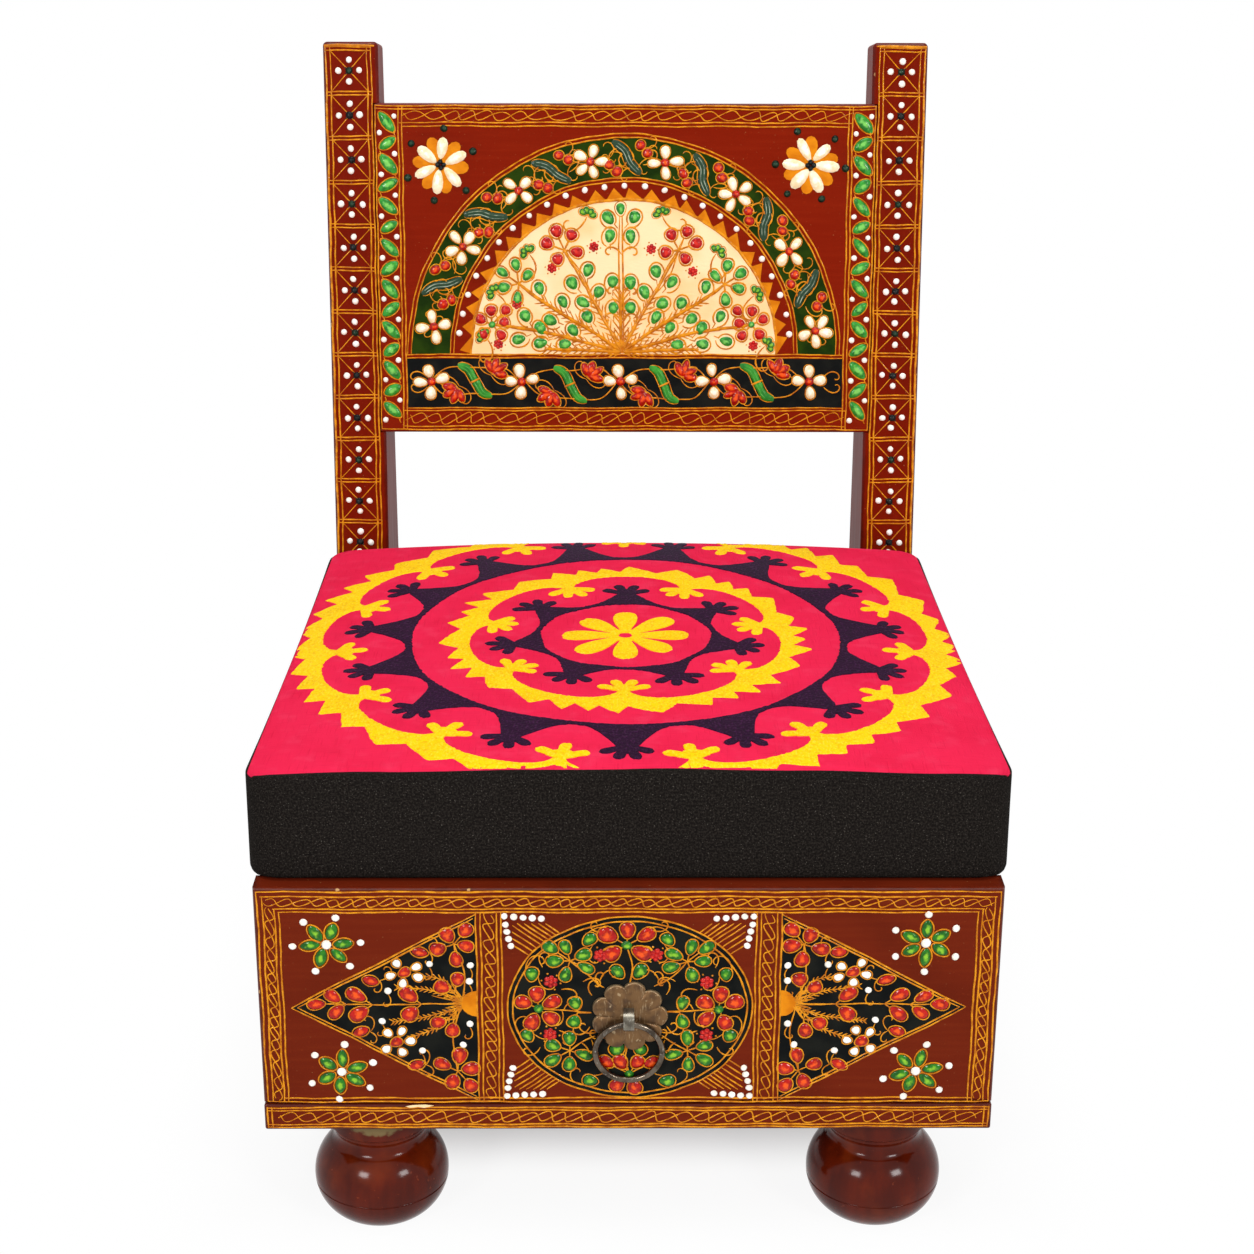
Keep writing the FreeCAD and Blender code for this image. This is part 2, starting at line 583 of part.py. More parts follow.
def cushion_cover():
    """Sewn cover, hollow for the foam."""
    return cushion_form(0.0).cut(cushion_form(COVER_THICKNESS))


def cushion_foam():
    """Foam block inside the cover."""
    return cushion_form(COVER_THICKNESS + JOINT_PLAY)


def nodes():
    """Return every node of the chair by name."""
    right_parts = {
        "side_panel": right_side_panel(),
        "runner": right_runner(),
        "post": right_post(),
    }
    parts = {
        "base_board": base_board(),
        "back_board": back_board(),
        "seat_board": seat_board(),
        "front_rail": front_rail(),
        "backrest_panel": backrest_panel(),
        "drawer_front": drawer_front(),
        "drawer_right_side": drawer_right_side(),
        "drawer_left_side": mirrored(drawer_right_side()),
        "drawer_back": drawer_back(),
        "drawer_bottom": drawer_bottom(),
        "pull_rosette": pull_rosette(),
        "ring_staple": ring_staple(),
        "pull_ring": pull_ring(),
        "cushion_cover": cushion_cover(),
        "cushion_foam": cushion_foam(),
    }
    for name, shape in right_parts.items():
        parts["right_" + name] = shape
        parts["left_" + name] = mirrored(shape)
    for end, depth in zip(("front", "rear"), foot_depths):
        for side, word in zip(SIDES, ("left", "right")):
            parts[f"foot_{end}_{word}"] = turned_foot(side, depth)
    for name in FASTENERS:
        parts[name] = fastener_group(name)
    return parts


os.makedirs("parts", exist_ok=True)
for node_name, node_shape in nodes().items():
    node_shape.exportStep(f"parts/{node_name}.step")
    print(f"{node_name}: {len(node_shape.Solids)} solid(s), {node_shape.Volume / 1000:.1f} cm3")
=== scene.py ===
"""Looks of a low painted chair: raised paintwork, embroidered cushion, turned feet, drawer with ring pull."""

import logging
import random
from abc import ABC, abstractmethod
from dataclasses import dataclass, field
from enum import Enum
from math import asin, atan2, ceil, copysign, cos, dist, pi, radians, sin, sqrt
from typing import ClassVar, Dict, List, Optional, Sequence, Tuple, Union

import bmesh
import bpy
import numpy as np
from mathutils import Matrix, Vector
from mathutils.bvhtree import BVHTree


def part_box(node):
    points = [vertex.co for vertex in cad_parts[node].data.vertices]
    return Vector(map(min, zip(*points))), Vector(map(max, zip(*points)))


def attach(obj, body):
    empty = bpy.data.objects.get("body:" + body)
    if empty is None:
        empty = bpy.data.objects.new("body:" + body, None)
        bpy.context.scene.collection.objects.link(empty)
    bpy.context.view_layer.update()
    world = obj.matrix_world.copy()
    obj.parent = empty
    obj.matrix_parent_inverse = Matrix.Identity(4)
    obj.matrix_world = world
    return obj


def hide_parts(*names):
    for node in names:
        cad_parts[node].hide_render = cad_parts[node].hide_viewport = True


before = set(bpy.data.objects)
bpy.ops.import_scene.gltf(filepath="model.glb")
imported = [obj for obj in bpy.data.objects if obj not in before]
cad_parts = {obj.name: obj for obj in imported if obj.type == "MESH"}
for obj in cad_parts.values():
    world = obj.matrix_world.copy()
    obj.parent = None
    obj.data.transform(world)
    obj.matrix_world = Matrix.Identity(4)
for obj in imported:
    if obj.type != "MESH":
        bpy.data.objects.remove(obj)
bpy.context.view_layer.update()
LOG = logging.getLogger("painted_chair")
MM = 0.001
TAU = 2 * pi
BOTH = (-1, 1)

Point = Tuple[float, float]
Triple = Tuple[float, float, float]
Colour = Tuple[float, float, float, float]
Path = Tuple[Point, ...]
Faces = List[Tuple[int, ...]]
Mesh = bpy.types.Mesh
Object = bpy.types.Object
Operand = Union["Value", float, int]
SocketValue = Union["Value", float, int, Sequence[float], bpy.types.ID]
Sockets = Dict[str, SocketValue]


def srgb(red: int, green: int, blue: int) -> Colour:
    """The linear colour that a shader takes for a colour as seen on screen, 0 to 255."""
    shares = (channel / 255 for channel in (red, green, blue))
    return (*(s / 12.92 if s <= 0.04045 else ((s + 0.055) / 1.055) ** 2.4 for s in shares), 1)


class Value:
    """One output socket of a node graph; arithmetic on it adds Math nodes."""

    def __init__(self, graph: "Graph", socket: bpy.types.NodeSocket) -> None:
        """Keep the socket and its graph."""
        self.graph = graph
        self.socket = socket

    def __add__(self, other: Operand) -> "Value":
        """Sum."""
        return self.graph.math("ADD", self, other)

    def __sub__(self, other: Operand) -> "Value":
        """Difference."""
        return self.graph.math("SUBTRACT", self, other)

    def __rsub__(self, other: Operand) -> "Value":
        """Difference from a plain number."""
        return self.graph.math("SUBTRACT", other, self)

    def __mul__(self, other: Operand) -> "Value":
        """Product."""
        return self.graph.math("MULTIPLY", self, other)

    __radd__, __rmul__ = __add__, __mul__

    def __abs__(self) -> "Value":
        """Distance from zero."""
        return self.graph.math("ABSOLUTE", self)

    def lowest(self, other: Operand) -> "Value":
        """The smaller of two values."""
        return self.graph.math("MINIMUM", self, other)

    def highest(self, other: Operand) -> "Value":
        """The larger of two values."""
        return self.graph.math("MAXIMUM", self, other)

    def wave(self) -> "Value":
        """Sine."""
        return self.graph.math("SINE", self)

    def over(self, low: float, high: float) -> "Value":
        """Smooth step that is 0 below low and 1 above high."""
        return self.graph.add("ShaderNodeMapRange", {"interpolation_type": "SMOOTHSTEP"},
                              {0: self, 1: low, 2: high})


class Graph:
    """A node tree that is filled through one generic method."""

    def __init__(self, tree: bpy.types.NodeTree) -> None:
        """Keep the tree, emptied."""
        self.tree = tree
        tree.nodes.clear()

    def add(self, kind: str, settings: Optional[Dict[str, object]] = None,
            sockets: Optional[Dict[Union[str, int], SocketValue]] = None,
            output: Union[str, int] = 0) -> Optional[Value]:
        """Add one node.

        Args:
            kind: The node's type.
            settings: Properties of the node, set first.
            sockets: Values or links of its inputs, by name or number.
            output: The output that is wanted, by name or number.

        Returns:
            The wanted output, or None for a node that has no output.
        """
        node = self.tree.nodes.new(kind)
        for name, setting in (settings or {}).items():
            setattr(node, name, setting)
        for key, value in (sockets or {}).items():
            if isinstance(value, Value):
                self.tree.links.new(value.socket, node.inputs[key])
            else:
                node.inputs[key].default_value = value
        return Value(self, node.outputs[output]) if len(node.outputs) else None

    def math(self, operation: str, first: Operand, second: Operand = 0) -> Value:
        """One Math node."""
        return self.add("ShaderNodeMath", {"operation": operation}, {0: first, 1: second})

    def place(self) -> Value:
        """Object coordinates, which are the shared frame in metres."""
        return self.add("ShaderNodeTexCoord", output="Object")

    def parts(self, vector: Value) -> Tuple[Value, Value, Value]:
        """The three components of a vector."""
        return tuple(self.add("ShaderNodeSeparateXYZ", sockets={0: vector}, output=axis) for axis in range(3))

    def attribute(self, name: str) -> Value:
        """A number kept at the mesh's points."""
        return self.add("ShaderNodeAttribute", {"attribute_name": name}, output="Fac")

    def stretched(self, vector: Value, scale: Triple) -> Value:
        """A vector scaled by its axes, which draws a pattern out along the small ones."""
        return self.add("ShaderNodeVectorMath", {"operation": "MULTIPLY"}, {0: vector, 1: scale})

    def noise(self, vector: Value, size: float, detail: float = 2) -> Value:
        """Soft noise with lumps of about the given size in metres."""
        return self.add("ShaderNodeTexNoise", {}, {"Vector": vector, "Scale": 1 / size, "Detail": detail})

    def mix(self, share: Operand, first: SocketValue, second: SocketValue) -> Value:
        """A colour between two colours."""
        return self.add("ShaderNodeMix", {"data_type": "RGBA"}, {0: share, 6: first, 7: second}, 2)

    def bump(self, height: Value, distance: float) -> Value:
        """A normal that follows a height, whose unit is the distance in metres."""
        return self.add("ShaderNodeBump", {}, {"Height": height, "Distance": distance, "Strength": 1})


@dataclass(frozen=True)
class Wall:
    """A flat side of a board; points of the board lie at or under its reach along the normal."""

    normal: Triple
    reach: float


def box_walls(node: str) -> Tuple[Wall, ...]:
    """The six sides of a CAD node's box.

    Args:
        node: The node's name.

    Returns:
        One wall for each side.
    """
    low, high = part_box(node)
    walls = []
    for axis in range(3):
        normal = Vector((0, 0, 0))
        normal[axis] = 1
        walls.append(Wall(tuple(normal), high[axis]))
        walls.append(Wall(tuple(-normal), -low[axis]))
    return tuple(walls)


def edge_distance(graph: Graph, place: Value, walls: Sequence[Wall]) -> Value:
    """Distance from the nearest edge between two walls, on the board's surface.

    Args:
        graph: The material's graph.
        place: Object coordinates.
        walls: The board's flat sides.

    Returns:
        The distance in metres: the second smallest of the depths under the walls.
    """
    nearest: Optional[Value] = None
    second: Optional[Value] = None
    for wall in walls:
        along = graph.add("ShaderNodeVectorMath", {"operation": "DOT_PRODUCT"},
                          {0: place, 1: wall.normal}, "Value")
        depth = wall.reach - along
        if nearest is None:
            nearest = depth
            continue
        further = nearest.highest(depth)
        second = further if second is None else second.lowest(further)
        nearest = nearest.lowest(depth)
    return second


class Finish(ABC):
    """A surface that can be given to pieces; each finish makes its material once."""

    made: ClassVar[Dict["Finish", bpy.types.Material]] = {}
    name: str

    @abstractmethod
    def sockets(self, graph: Graph) -> Sockets:
        """What each socket of the surface shader holds.

        Args:
            graph: The material's graph.

        Returns:
            The value or link of each socket that is set.
        """

    def material(self) -> bpy.types.Material:
        """The finish's material, made on first use.

        Returns:
            The node-based material.
        """
        if self not in Finish.made:
            material = bpy.data.materials.new(self.name)
            material.use_nodes = True
            graph = Graph(material.node_tree)
            surface = graph.add("ShaderNodeBsdfPrincipled", sockets=self.sockets(graph))
            graph.add("ShaderNodeOutputMaterial", sockets={"Surface": surface})
            Finish.made[self] = material
        return Finish.made[self]


@dataclass(frozen=True)
class Lacquer(Finish):
    """Brushed red-brown lacquer on a board, dark along its edges, with specks and a few chips."""

    name: str
    walls: Tuple[Wall, ...]
    brush: Triple = (0.06, 1, 1)
    colour: Colour = srgb(103, 31, 12)
    light: Colour = srgb(124, 46, 18)
    dark: Colour = srgb(58, 15, 6)
    wood: Colour = srgb(205, 160, 105)

    def sockets(self, graph: Graph) -> Sockets:
        """Streaks along the brush, darker edges and small chips that show the wood.

        Args:
            graph: The material's graph.

        Returns:
            The value or link of each socket that is set.
        """
        place = graph.place()
        streaks = graph.noise(graph.stretched(place, self.brush), 0.0035, 4)
        cloud = graph.noise(place, 0.07, 3)
        grit = graph.noise(place, 0.0022, 1)
        dust = graph.noise(place, 0.0011, 1).over(0.76, 0.82)
        edge = edge_distance(graph, place, self.walls)
        # The lacquer is darker within a few millimetres of each edge.
        rubbed = 1 - (edge + (graph.noise(place, 0.014) - 0.5) * 0.006).over(0.0003, 0.0035)
        chip = graph.noise(place, 0.016, 3).over(0.69, 0.72) * (1 - edge.over(0.0008, 0.0026))
        tone = graph.mix(streaks.over(0.42, 0.72) * 0.20, self.colour, self.light)
        tone = graph.mix(cloud.over(0.5, 0.75) * 0.25, tone, self.dark)
        tone = graph.mix(grit.over(0.72, 0.80) * 0.45, tone, self.light)
        tone = graph.mix(dust * 0.5, tone, self.wood)
        tone = graph.mix(rubbed * 0.6, tone, self.dark)
        tone = graph.mix(chip, tone, self.wood)
        height = streaks * 0.25 + grit * 0.3 - chip * 1.2
        return {"Base Color": tone, "Roughness": 0.30 + streaks * 0.22 + chip * 0.25,
                "Normal": graph.bump(height, 0.00025), "Specular IOR Level": 0.03,
                "Coat Weight": (1 - edge.over(0.0006, 0.0024)) * 0.4, "Coat Roughness": 0.15}


@dataclass(frozen=True)
class Enamel(Finish):
    """Thick hand-laid paint, uneven in tone; a daub may be lighter toward its middle, partly two-tone paint
    and partly a painted highlight.
    """

    name: str
    colour: Colour
    dusk: Colour
    middle_paint_and_highlight: Optional[Colour] = None
    patch: float = 0.006
    roughness: float = 0.06
    gloss: float = 0.24

    def sockets(self, graph: Graph) -> Sockets:
        """Two tones in patches, and a lighter tone toward the daub's middle: partly paint, partly a painted
        highlight.

        Args:
            graph: The material's graph.

        Returns:
            The value or link of each socket that is set.
        """
        place = graph.place()
        patch = graph.noise(place, self.patch, 2)
        drag = graph.noise(graph.stretched(place, (0.35, 1, 1)), 0.0016, 2)
        tone = graph.mix(patch.over(0.38, 0.66), self.colour, self.dusk)
        # A daub is lighter toward its middle: partly a second paint, partly a painted highlight on its dome.
        if self.middle_paint_and_highlight is not None:
            heart = 1 - (graph.attribute("rim") + (graph.noise(place, 0.0034) - 0.5) * 1.3).over(0.12, 0.62)
            tone = graph.mix(heart, tone, self.middle_paint_and_highlight)
        return {"Base Color": tone, "Roughness": self.roughness + drag * 0.16,
                "Normal": graph.bump(drag, 0.0002), "Specular IOR Level": self.gloss}


@dataclass(frozen=True)
class TurnedWood(Finish):
    """Dark polished wood off the lathe, with turning lines and a rubbed pale patch on the collar."""

    name: str
    patch_place: Optional[Triple] = None
    patch_scale: Triple = (0.55, 1, 1.6)
    colour: Colour = srgb(94, 25, 4)
    light: Colour = srgb(140, 56, 16)
    dark: Colour = srgb(58, 13, 5)
    bare: Colour = srgb(122, 108, 70)

    def sockets(self, graph: Graph) -> Sockets:
        """Upright grain, level lathe lines and nicks under a clear polish.

        Args:
            graph: The material's graph.

        Returns:
            The value or link of each socket that is set.
        """
        place = graph.place()
        grain = graph.noise(graph.stretched(place, (1, 1, 0.2)), 0.016, 3)
        cloud = graph.noise(place, 0.035, 3)
        lathe = graph.noise(graph.stretched(place, (0.02, 0.02, 1)), 0.0016, 2)
        nick = graph.noise(place, 0.004, 2).over(0.70, 0.76)
        tone = graph.mix(grain.over(0.36, 0.7) * 0.6 + 0.25, self.dark, self.colour)
        tone = graph.mix(cloud.over(0.5, 0.75) * 0.35, tone, self.light)
        tone = graph.mix(nick * 0.35, tone, self.light)
        worn: Operand = 0
        if self.patch_place is not None:
            middle = tuple(far * scale for far, scale in zip(self.patch_place, self.patch_scale))
            away = graph.add("ShaderNodeVectorMath", {"operation": "DISTANCE"},
                             {0: graph.stretched(place, self.patch_scale), 1: middle}, "Value")
            worn = 1 - (away + (graph.noise(place, 0.005, 3) - 0.5) * 0.016).over(0.007, 0.013)
            tone = graph.mix(worn * 0.8, tone, self.bare)
        return {"Base Color": tone, "Roughness": 0.11 + lathe * 0.07 + nick * 0.2 + worn * 0.3 + cloud * 0.06,
                "Normal": graph.bump(lathe * 0.3 + grain * 0.2 - nick * 0.6, 0.0001),
                "Specular IOR Level": 0.05, "Coat Weight": 0.22, "Coat Roughness": 0.12}


@dataclass(frozen=True)
class BareWood(Finish):
    """Plain planed wood inside the drawer and under the seat, with grain along one direction."""

    name: str
    grain: Triple
    colour: Colour = srgb(186, 138, 88)
    dark: Colour = srgb(136, 92, 54)
    knot: Colour = srgb(96, 60, 34)

    def sockets(self, graph: Graph) -> Sockets:
        """Long grain bands with fine pores.

        Args:
            graph: The material's graph.

        Returns:
            The value or link of each socket that is set.
        """
        place = graph.stretched(graph.place(), self.grain)
        wander = graph.noise(place, 0.05, 2)
        rings = (graph.noise(place, 0.010, 3) * 14 + wander * 9).wave() * 0.5 + 0.5
        pores = graph.noise(place, 0.0014, 3).over(0.56, 0.72)
        tone = graph.mix(rings * 0.55, self.colour, self.dark)
        tone = graph.mix(pores * 0.45, tone, self.knot)
        return {"Base Color": tone, "Roughness": 0.58 + pores * 0.2,
                "Normal": graph.bump(rings * 0.3 - pores, 0.0002), "Specular IOR Level": 0.25}


@dataclass(frozen=True)
class Metal(Finish):
    """Old metal: bright where hands wear it, stained elsewhere; a marked rim is lighter, part wear and part
    painted highlight.
    """

    name: str
    colour: Colour
    stain: Colour
    bright: Colour
    metallic: float
    roughness: float

    def sockets(self, graph: Graph) -> Sockets:
        """Stains in patches, fine scratches, small bright spots and a lighter rim: wear and a painted
        highlight.

        Args:
            graph: The material's graph.

        Returns:
            The value or link of each socket that is set.
        """
        place = graph.place()
        stain = graph.noise(place, 0.009, 4)
        scratch = graph.noise(graph.stretched(place, (1, 1, 0.15)), 0.0012, 3)
        spot = graph.noise(place, 0.003, 2).over(0.66, 0.74)
        tone = graph.mix(stain.over(0.38, 0.64), self.colour, self.stain)
        # A marked rim is lighter: partly wear, partly a painted highlight.
        rubbed = graph.attribute("rub").over(0.2, 0.9) * 0.45
        tone = graph.mix(scratch.over(0.58, 0.74) * 0.35 + spot * 0.4 + rubbed, tone, self.bright)
        return {"Base Color": tone, "Metallic": self.metallic - stain.over(0.5, 0.75) * 0.3,
                "Roughness": self.roughness + stain * 0.14 - scratch * 0.06,
                "Normal": graph.bump(scratch * 0.4 + stain, 0.0003)}


@dataclass(frozen=True)
class CushionCloth(Finish):
    """Charcoal linen on the sides and plain-woven pink cotton inside the seam of the top panel."""

    name: str = "cushion_cloth_linen_and_cotton"
    thread: float = 0.00095
    linen: Colour = srgb(15, 13, 12)
    linen_light: Colour = srgb(52, 47, 43)
    lint: Colour = srgb(120, 114, 106)
    cotton: Colour = srgb(253, 37, 82)
    cotton_dark: Colour = srgb(238, 23, 66)
    cotton_light: Colour = srgb(255, 72, 110)

    def sockets(self, graph: Graph) -> Sockets:
        """A plain weave on the piece's own map, with slubs, lint and the seam between both cloths.

        Args:
            graph: The material's graph.

        Returns:
            The value or link of each socket that is set.
        """
        sheet = graph.add("ShaderNodeUVMap", {"uv_map": "weave"})
        across, along, _ = graph.parts(sheet)
        turns = TAU / self.thread
        warp = (across * turns + graph.noise(graph.stretched(sheet, (1, 0.1, 1)), 0.004) * 5).wave()
        weft = (along * turns + graph.noise(graph.stretched(sheet, (0.1, 1, 1)), 0.004) * 5).wave()
        weave = warp * weft * 0.5 + 0.5
        slub_up = graph.noise(graph.stretched(sheet, (1, 0.05, 1)), 0.0011, 2)
        slub_level = graph.noise(graph.stretched(sheet, (0.05, 1, 1)), 0.0011, 2)
        slubs = slub_up.highest(slub_level).over(0.54, 0.78)
        lint = graph.noise(sheet, 0.0010, 1).over(0.66, 0.76)
        cloud = graph.noise(sheet, 0.05, 3)
        grain = graph.noise(sheet, 0.0014, 2).over(0.40, 0.66)
        linen = graph.mix(weave * 0.25 + grain * 0.48 + slubs * 0.15, self.linen, self.linen_light)
        linen = graph.mix(lint * 0.6, linen, self.lint)
        faded = graph.noise(sheet, 0.018, 3).over(0.5, 0.72)
        cotton = graph.mix(cloud.over(0.4, 0.7) * 0.5 + slubs * 0.6, self.cotton, self.cotton_dark)
        cotton = graph.mix(weave * 0.25 + faded * 0.3, cotton, self.cotton_light)
        panel = graph.attribute("panel").over(-0.0002, 0.0003)
        return {"Base Color": graph.mix(panel, linen, cotton), "Roughness": 0.80 + slubs * 0.1,
                "Normal": graph.bump(weave + slubs * 0.6, 0.00035), "Specular IOR Level": 0.02}


@dataclass(frozen=True)
class Thread(Finish):
    """Embroidery thread in short, close stitches."""

    name: str
    colour: Colour
    shade: Colour
    light: Colour

    def sockets(self, graph: Graph) -> Sockets:
        """A grain of stitches, some lighter and some in shade, with a little gloss.

        Args:
            graph: The material's graph.

        Returns:
            The value or link of each socket that is set.
        """
        place = graph.place()
        stitch = graph.noise(place, 0.0024, 2)
        strand = graph.noise(graph.stretched(place, (1, 0.45, 1)), 0.0013, 1)
        cloud = graph.noise(place, 0.03, 3)
        shaded = cloud.over(0.45, 0.7) * 0.25 + (1 - stitch.over(0.36, 0.5)) * 0.55
        tone = graph.mix(shaded, self.colour, self.shade)
        tone = graph.mix(strand.over(0.5, 0.7) * 0.6, tone, self.light)
        return {"Base Color": tone, "Roughness": 0.55 + stitch * 0.15,
                "Normal": graph.bump(stitch + strand * 0.5, 0.0005), "Specular IOR Level": 0.05}


class Paint(Enum):
    """The enamel colours of the ornament."""

    OCHRE = Enamel("enamel_ochre", srgb(222, 144, 20), srgb(184, 104, 8), patch=0.006, gloss=0.16)
    WHITE = Enamel("enamel_white", srgb(250, 246, 238), srgb(238, 230, 214), srgb(255, 253, 250))
    CREAM = Enamel("enamel_cream", srgb(248, 236, 204), srgb(236, 214, 166), srgb(255, 250, 236))
    RED = Enamel("enamel_red", srgb(184, 18, 6), srgb(140, 10, 5), srgb(236, 84, 14), 0.004)
    CRIMSON = Enamel("enamel_crimson", srgb(186, 20, 18), srgb(146, 10, 14), srgb(212, 46, 32), 0.004)
    GREEN = Enamel("enamel_green", srgb(34, 116, 22), srgb(18, 82, 20), srgb(132, 190, 44), 0.004)
    JADE = Enamel("enamel_jade", srgb(52, 152, 48), srgb(26, 112, 38), srgb(122, 202, 92), 0.004)
    LEAF = Enamel("enamel_leaf_green", srgb(58, 152, 46), srgb(34, 118, 38), patch=0.010, gloss=0.2)
    # The lime and mint paints are pale streaks painted on leaves as highlights.
    LIME = Enamel("enamel_lime", srgb(84, 172, 66), srgb(58, 146, 52), gloss=0.2)
    MINT = Enamel("enamel_mint", srgb(160, 176, 154), srgb(70, 92, 74), gloss=0.2)
    BOTTLE = Enamel("enamel_bottle_green", srgb(20, 40, 24), srgb(10, 24, 15), srgb(44, 68, 50), 0.004,
                    gloss=0.1)
    SOOT = Enamel("enamel_soot", srgb(18, 21, 21), srgb(10, 12, 13), srgb(38, 43, 42), 0.004, gloss=0.1)
    IVORY_GROUND = Enamel("ground_ivory", srgb(251, 224, 176), srgb(245, 208, 150), None, 0.03, 0.4, 0.08)
    BLACK_GROUND = Enamel("ground_black", srgb(15, 17, 17), srgb(26, 27, 24), None, 0.02, 0.36, 0.03)
    GREEN_GROUND = Enamel("ground_green", srgb(22, 42, 6), srgb(36, 58, 8), None, 0.016, 0.36, 0.03)
    OCHRE_GROUND = Enamel("ground_ochre", srgb(220, 134, 16), srgb(200, 112, 8), None, 0.012, 0.36, 0.06)


class Fitting(Enum):
    """The metals of the drawer's pull and of the fasteners."""

    BRASS = Metal("aged_brass_plate", srgb(116, 84, 50), srgb(78, 54, 32), srgb(216, 190, 148), 0.6, 0.34)
    STEEL = Metal("worn_steel_ring", srgb(110, 99, 87), srgb(66, 57, 48), srgb(206, 202, 192), 1, 0.11)
    STRAP = Metal("bright_steel_strap", srgb(128, 123, 110), srgb(80, 74, 64), srgb(226, 222, 210), 0.7, 0.2)


class Yarn(Enum):
    """The threads of the embroidery."""

    YELLOW = Thread("thread_yellow", srgb(255, 208, 12), srgb(228, 168, 4), srgb(255, 226, 70))
    PURPLE = Thread("thread_purple", srgb(36, 10, 38), srgb(18, 5, 22), srgb(68, 31, 68))


class Form(Enum):
    """Outlines of a raised daub of paint."""

    DOT = "dot"
    LEAF = "leaf"
    PETAL = "petal"

    def outline(self, steps: int) -> List[Point]:
        """Points of the outline, one long and one wide, with the tip at the top.

        Args:
            steps: Number of points.

        Returns:
            The points, anticlockwise from the tip.
        """
        points = []
        for step in range(steps):
            angle = TAU * step / steps
            across, along = -sin(angle), cos(angle)
            if self is Form.LEAF:
                across *= abs(across) ** 0.22
            elif self is Form.PETAL:
                across *= 0.98 + 0.22 * along
            points.append((0.5 * across, 0.5 * along))
        return points


def mesh_of(name: str, points: Sequence[Sequence[float]], faces: Faces) -> Mesh:
    """Make a mesh.

    Args:
        name: Its name.
        points: Its points.
        faces: The numbers of each face's points.

    Returns:
        The mesh.
    """
    mesh = bpy.data.meshes.new(name)
    mesh.from_pydata(points, [], faces)
    return mesh


def shown(thing: Object) -> Object:
    """An object after it is linked to the scene."""
    bpy.context.scene.collection.objects.link(thing)
    return thing


def points_of(mesh: Mesh) -> np.ndarray:
    """A mesh's points, one to a row."""
    return np.array([vertex.co for vertex in mesh.vertices])


def evaluated(source: Object) -> Mesh:
    """A plain mesh of an object as its modifiers leave it, with all its attributes."""
    graph = bpy.context.evaluated_depsgraph_get()
    return bpy.data.meshes.new_from_object(source.evaluated_get(graph), preserve_all_data_layers=True,
                                           depsgraph=graph)


class ShapeTree:
    """A Geometry Nodes tree with named inputs that turns a source object into a plain mesh."""

    def __init__(self, name: str, inputs: Dict[str, str]) -> None:
        """Make an empty tree.

        Args:
            name: The tree's name.
            inputs: The socket type of each named input.
        """
        self.tree = bpy.data.node_groups.new(name, "GeometryNodeTree")
        self.graph = Graph(self.tree)
        face = self.tree.interface
        face.new_socket("Geometry", in_out="INPUT", socket_type="NodeSocketGeometry")
        face.new_socket("Geometry", in_out="OUTPUT", socket_type="NodeSocketGeometry")
        self.keys = {label: face.new_socket(label, in_out="INPUT", socket_type=kind).identifier
                     for label, kind in inputs.items()}
        self.entry = self.tree.nodes.new("NodeGroupInput")

    def given(self, label: str) -> Value:
        """The value of a named input inside the tree."""
        return Value(self.graph, self.entry.outputs[label])

    def close(self, geometry: Value) -> None:
        """End the tree: realize instances, shade smoothly and set the paint.

        Args:
            geometry: What the tree has made.
        """
        paint = self.given("Paint")
        real = self.graph.add("GeometryNodeRealizeInstances", sockets={"Geometry": geometry})
        smooth = self.graph.add("GeometryNodeSetShadeSmooth", sockets={"Geometry": real})
        painted = self.graph.add("GeometryNodeSetMaterial", sockets={"Geometry": smooth, "Material": paint})
        self.graph.add("NodeGroupOutput", sockets={"Geometry": painted})

    def mesh(self, source: Object, values: Dict[str, object]) -> Mesh:
        """Run the tree on a source, which is used up.

        Args:
            source: The object that holds the curves or points.
            values: The value of each named input.

        Returns:
            The finished mesh.
        """
        modifier = shown(source).modifiers.new(self.tree.name, "NODES")
        modifier.node_group = self.tree
        for label, value in values.items():
            modifier[self.keys[label]] = value
        mesh = evaluated(source)
        bpy.data.objects.remove(source)
        return mesh


class RaisedLines(ShapeTree):
    """Lays a rounded bead of paint along every spline of a curve object."""

    def __init__(self) -> None:
        """Build the tree: a half-round profile, scaled by the spline's radius, swept along it."""
        super().__init__("raised_lines", {"Rise": "NodeSocketFloat", "Facets": "NodeSocketInt",
                                          "Paint": "NodeSocketMaterial"})
        graph = self.graph
        arc = graph.add("GeometryNodeCurveArc", {"mode": "RADIUS"},
                        {"Resolution": self.given("Facets"), "Radius": 1, "Start Angle": pi,
                         "Sweep Angle": pi, "Connect Center": True})
        squash = graph.add("ShaderNodeCombineXYZ", sockets={"X": 1, "Y": self.given("Rise"), "Z": 1})
        profile = graph.add("GeometryNodeTransform", sockets={"Geometry": arc, "Scale": squash})
        level = graph.add("GeometryNodeSetCurveNormal", {"mode": "Z_UP"}, {"Curve": self.given("Geometry")})
        swept = graph.add("GeometryNodeCurveToMesh", sockets={
            "Curve": level, "Profile Curve": profile, "Scale": graph.add("GeometryNodeInputRadius"),
            "Fill Caps": True})
        self.close(swept)


